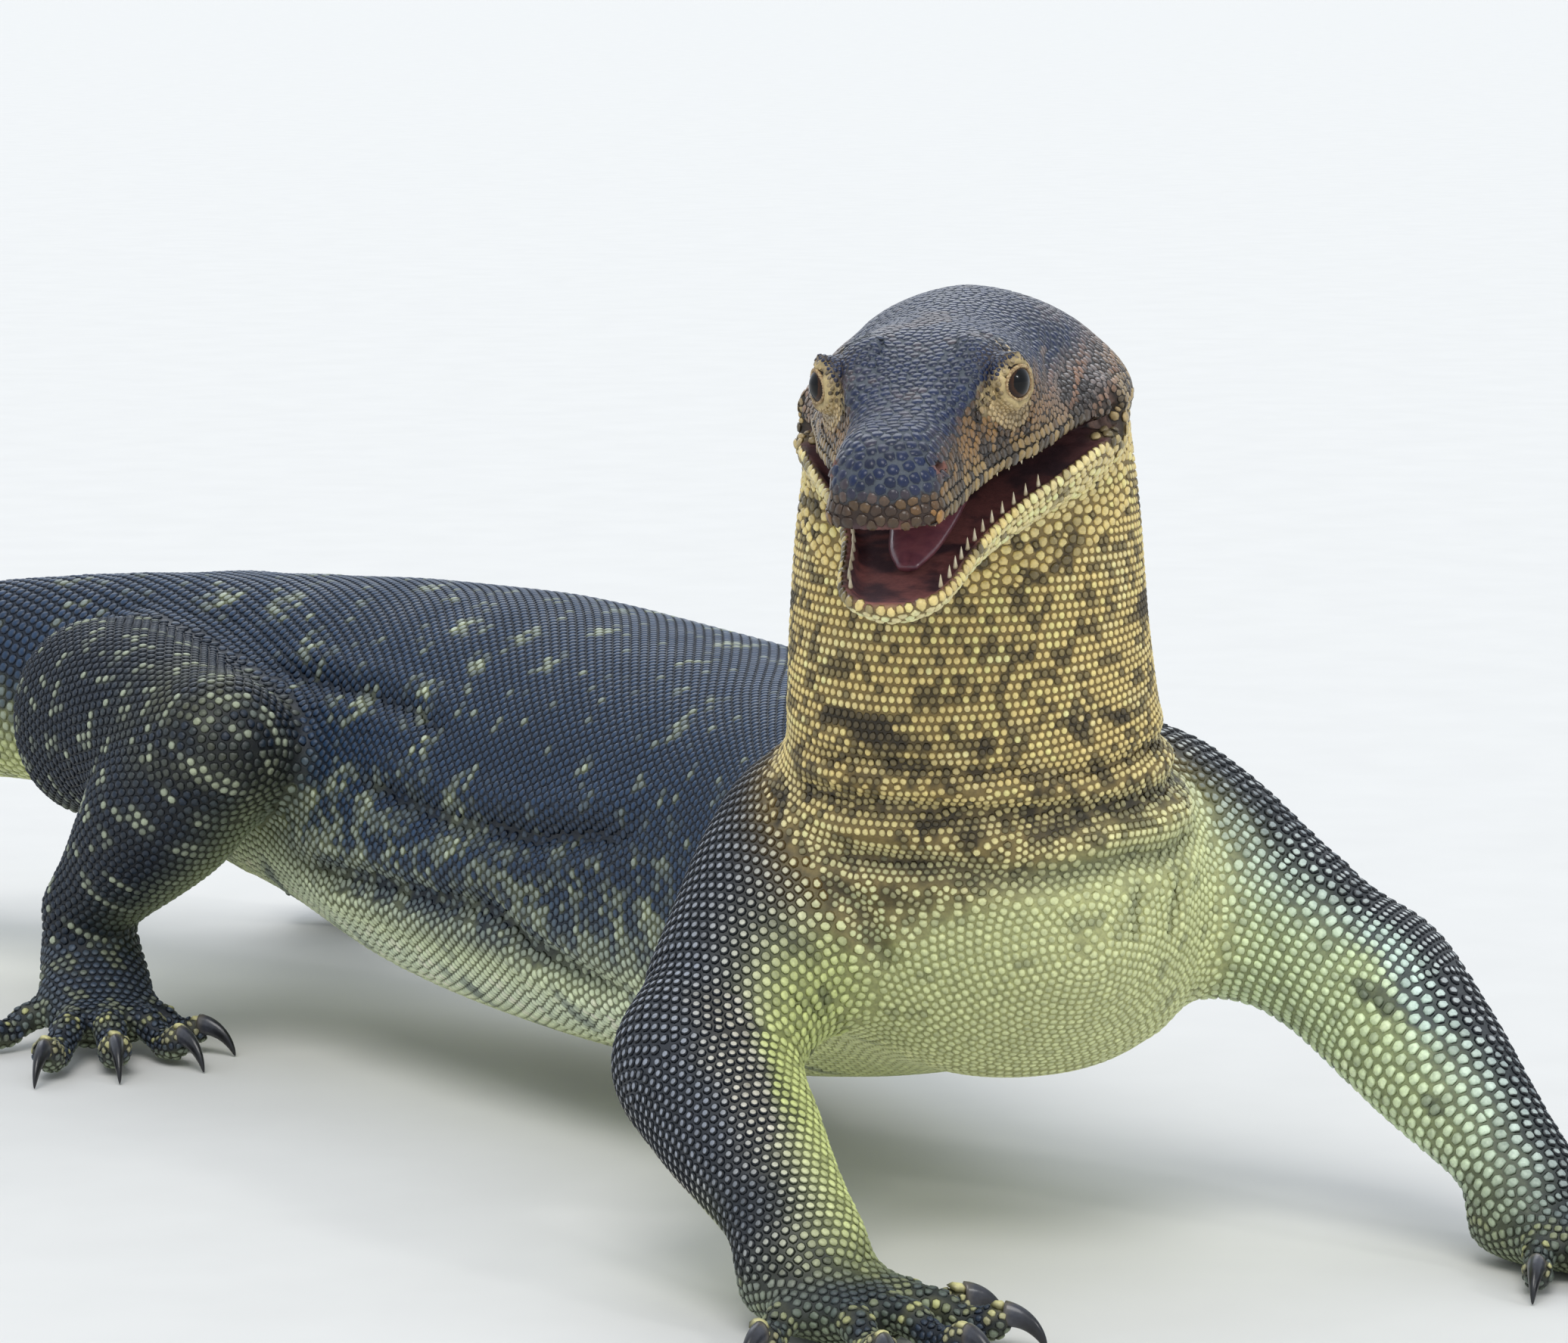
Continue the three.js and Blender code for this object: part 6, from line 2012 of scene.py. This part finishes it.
def make_teeth():
    mat, nt, b = shader("tooth", 0.25, Coat_Weight=0.3, Coat_Roughness=0.1)
    n = noise_node(nt, 500, 3)
    r = ramp(nt, n.outputs["Fac"], [(0.3, tuple(srgb(226, 214, 184))), (0.7, tuple(srgb(196, 178, 138)))])
    nt.links.new(r.outputs["Color"], b.inputs["Base Color"])
    Ps, Fs, off = [], [], 0
    ang = ring_angles(10)
    for O, B, tab, xs, z0, dirn, inset in (
        (HO, HB, HEAD, np.arange(58, 122, 5.2), 0.6, -1, 3.0),
        (JO, JB, JAW, np.arange(44, 104, 5.2), -0.6, 1, 2.8),
    ):
        for x in xs:
            w = table_at(tab, x)[0, 0] - inset
            for side in (1, -1):
                base = np.array([x, side * w, z0])
                t = np.linspace(0, 1, 7)
                rad = 0.75 * (1 - t) ** 0.8 + 0.05
                c = base + np.stack([-0.9 * t**2, 0 * t, dirn * 2.6 * t], 1)
                ring = np.stack([np.stack([c[i, 0] + rad[i] * 1.15 * np.cos(ang), c[i, 1] + rad[i] * 0.7 * np.sin(ang), np.full(10, c[i, 2])], 1) for i in range(7)])
                P, F = closed_mesh(ring)
                P = P @ B + O
                A = P - P.mean(0)
                T = A[F]
                if np.einsum("ij,ij->i", T[:, 0], np.cross(T[:, 1], T[:, 2])).sum() < 0:
                    F = F[:, ::-1]
                Ps.append(P)
                Fs.append(F + off)
                off += len(P)
    me = mesh_from_arrays("teeth", to_metres(np.vstack(Ps)), np.vstack(Fs))
    me.materials.append(mat)
    ob = bpy.data.objects.new("teeth", me)
    bpy.context.collection.objects.link(ob)
    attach(ob, "root")


def make_tongue():
    mat, nt, b = shader("tongue_flesh", 0.28, Coat_Weight=0.4, Coat_Roughness=0.15)
    n = noise_node(nt, 260, 5)
    r = ramp(nt, n.outputs["Fac"], [(0.3, tuple(srgb(150, 92, 98))), (0.7, tuple(srgb(112, 66, 78)))])
    nt.links.new(r.outputs["Color"], b.inputs["Base Color"])
    bm = add(nt, "ShaderNodeBump")
    bm.inputs["Strength"].default_value = 0.5
    bm.inputs["Distance"].default_value = 0.0004
    nt.links.new(n.outputs["Fac"], bm.inputs["Height"])
    nt.links.new(bm.outputs["Normal"], b.inputs["Normal"])
    tab = [[14, 9, 3.0, -2.6], [30, 9, 3.2, -2.6], [50, 8.4, 3.0, -2.7], [68, 7, 2.4, -2.8], [80, 4.8, 1.8, -3.0], [86, 2.2, 1.0, -3.2]]
    x = np.linspace(14, 86, 40)
    g = table_at(tab, x)
    a = ring_angles(28)
    y = np.cos(a)[None] * g[:, :1]
    z = g[:, 2:3] + g[:, 1:2] * 0.4 + np.sin(a)[None] * np.where(np.sin(a) > 0, 1, 0.7)[None] * g[:, 1:2] - 0.5 * bump(y / g[:, :1], 0, 0.2) * (np.sin(a)[None] > 0.2)
    ring = np.stack([x[:, None] + 0 * y, y, z], -1)
    P, F = closed_mesh(ring)
    P = P @ JB + JO
    A = (P - P.mean(0))[F]
    if np.einsum("ij,ij->i", A[:, 0], np.cross(A[:, 1], A[:, 2])).sum() < 0:
        F = F[:, ::-1]
    me = mesh_from_arrays("tongue_soft", to_metres(P), F)
    me.materials.append(mat)
    ob = bpy.data.objects.new("tongue_soft", me)
    bpy.context.collection.objects.link(ob)
    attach(ob, "root")
    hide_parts("tongue")


# ---------------------------------------------------------------- floor, light, camera
def make_stage():
    me = bpy.data.meshes.new("floor")
    s = 60.0
    me.from_pydata([(-s, -s, 0), (s, -s, 0), (s, s, 0), (-s, s, 0)], [], [(0, 1, 2, 3)])
    ob = bpy.data.objects.new("floor", me)
    bpy.context.collection.objects.link(ob)
    mat, nt, b = shader("floor_pale", 0.75)
    n = noise_node(nt, 24, 2)
    r = ramp(nt, n.outputs["Fac"], [(0.3, tuple(srgb(217, 216, 213))), (0.7, tuple(srgb(220, 219, 216)))])
    nt.links.new(r.outputs["Color"], b.inputs["Base Color"])
    me.materials.append(mat)
    world = bpy.data.worlds.new("studio")
    bpy.context.scene.world = world
    world.use_nodes = True
    bg = world.node_tree.nodes["Background"]
    bg.inputs["Color"].default_value = (0.84, 0.91, 1.0, 1)
    bg.inputs["Strength"].default_value = 0.78

    def sun(name, towards, strength, angle, colour):
        li = bpy.data.lights.new(name, "SUN")
        li.energy = strength
        li.angle = math.radians(angle)
        li.color = colour
        o = bpy.data.objects.new(name, li)
        bpy.context.collection.objects.link(o)
        o.location = (0, 0, 3)
        o.rotation_euler = Vector(towards).to_track_quat("-Z", "Y").to_euler()

    sun("key", (0.62, 0.55, -1.25), 1.38, 34, (1.0, 0.985, 0.95))
    sun("glint", (-0.14, 0.87, -0.50), 0.34, 6, (1.0, 0.99, 0.97))
    sun("rim", (-0.75, -0.9, -0.9), 0.75, 50, (0.93, 0.96, 1.0))


def make_camera():
    cam = bpy.data.cameras.new("view")
    cam.lens = 136.2
    cam.sensor_width = 36
    cam.sensor_fit = "HORIZONTAL"
    cam.clip_start = 0.05
    cam.clip_end = 50
    o = bpy.data.objects.new("view", cam)
    o.location = (-1.0558, -1.6484, 0.325)
    o.rotation_euler = (math.radians(82.8), 0, math.radians(-42))
    bpy.context.collection.objects.link(o)
    bpy.context.scene.camera = o


COAT_PIECES = make_coat(HIDE)
COAT_PIECES[0].data.materials[0] = HIDE_HEAD
SKIN_OB = make_skin()
make_eyes()
make_lid_rims()
make_claws()
make_teeth()
make_tongue()
make_stage()
make_camera()
bpy.context.scene.view_settings.view_transform = "Standard"
tick("pieces")
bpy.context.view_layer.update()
tick("done")
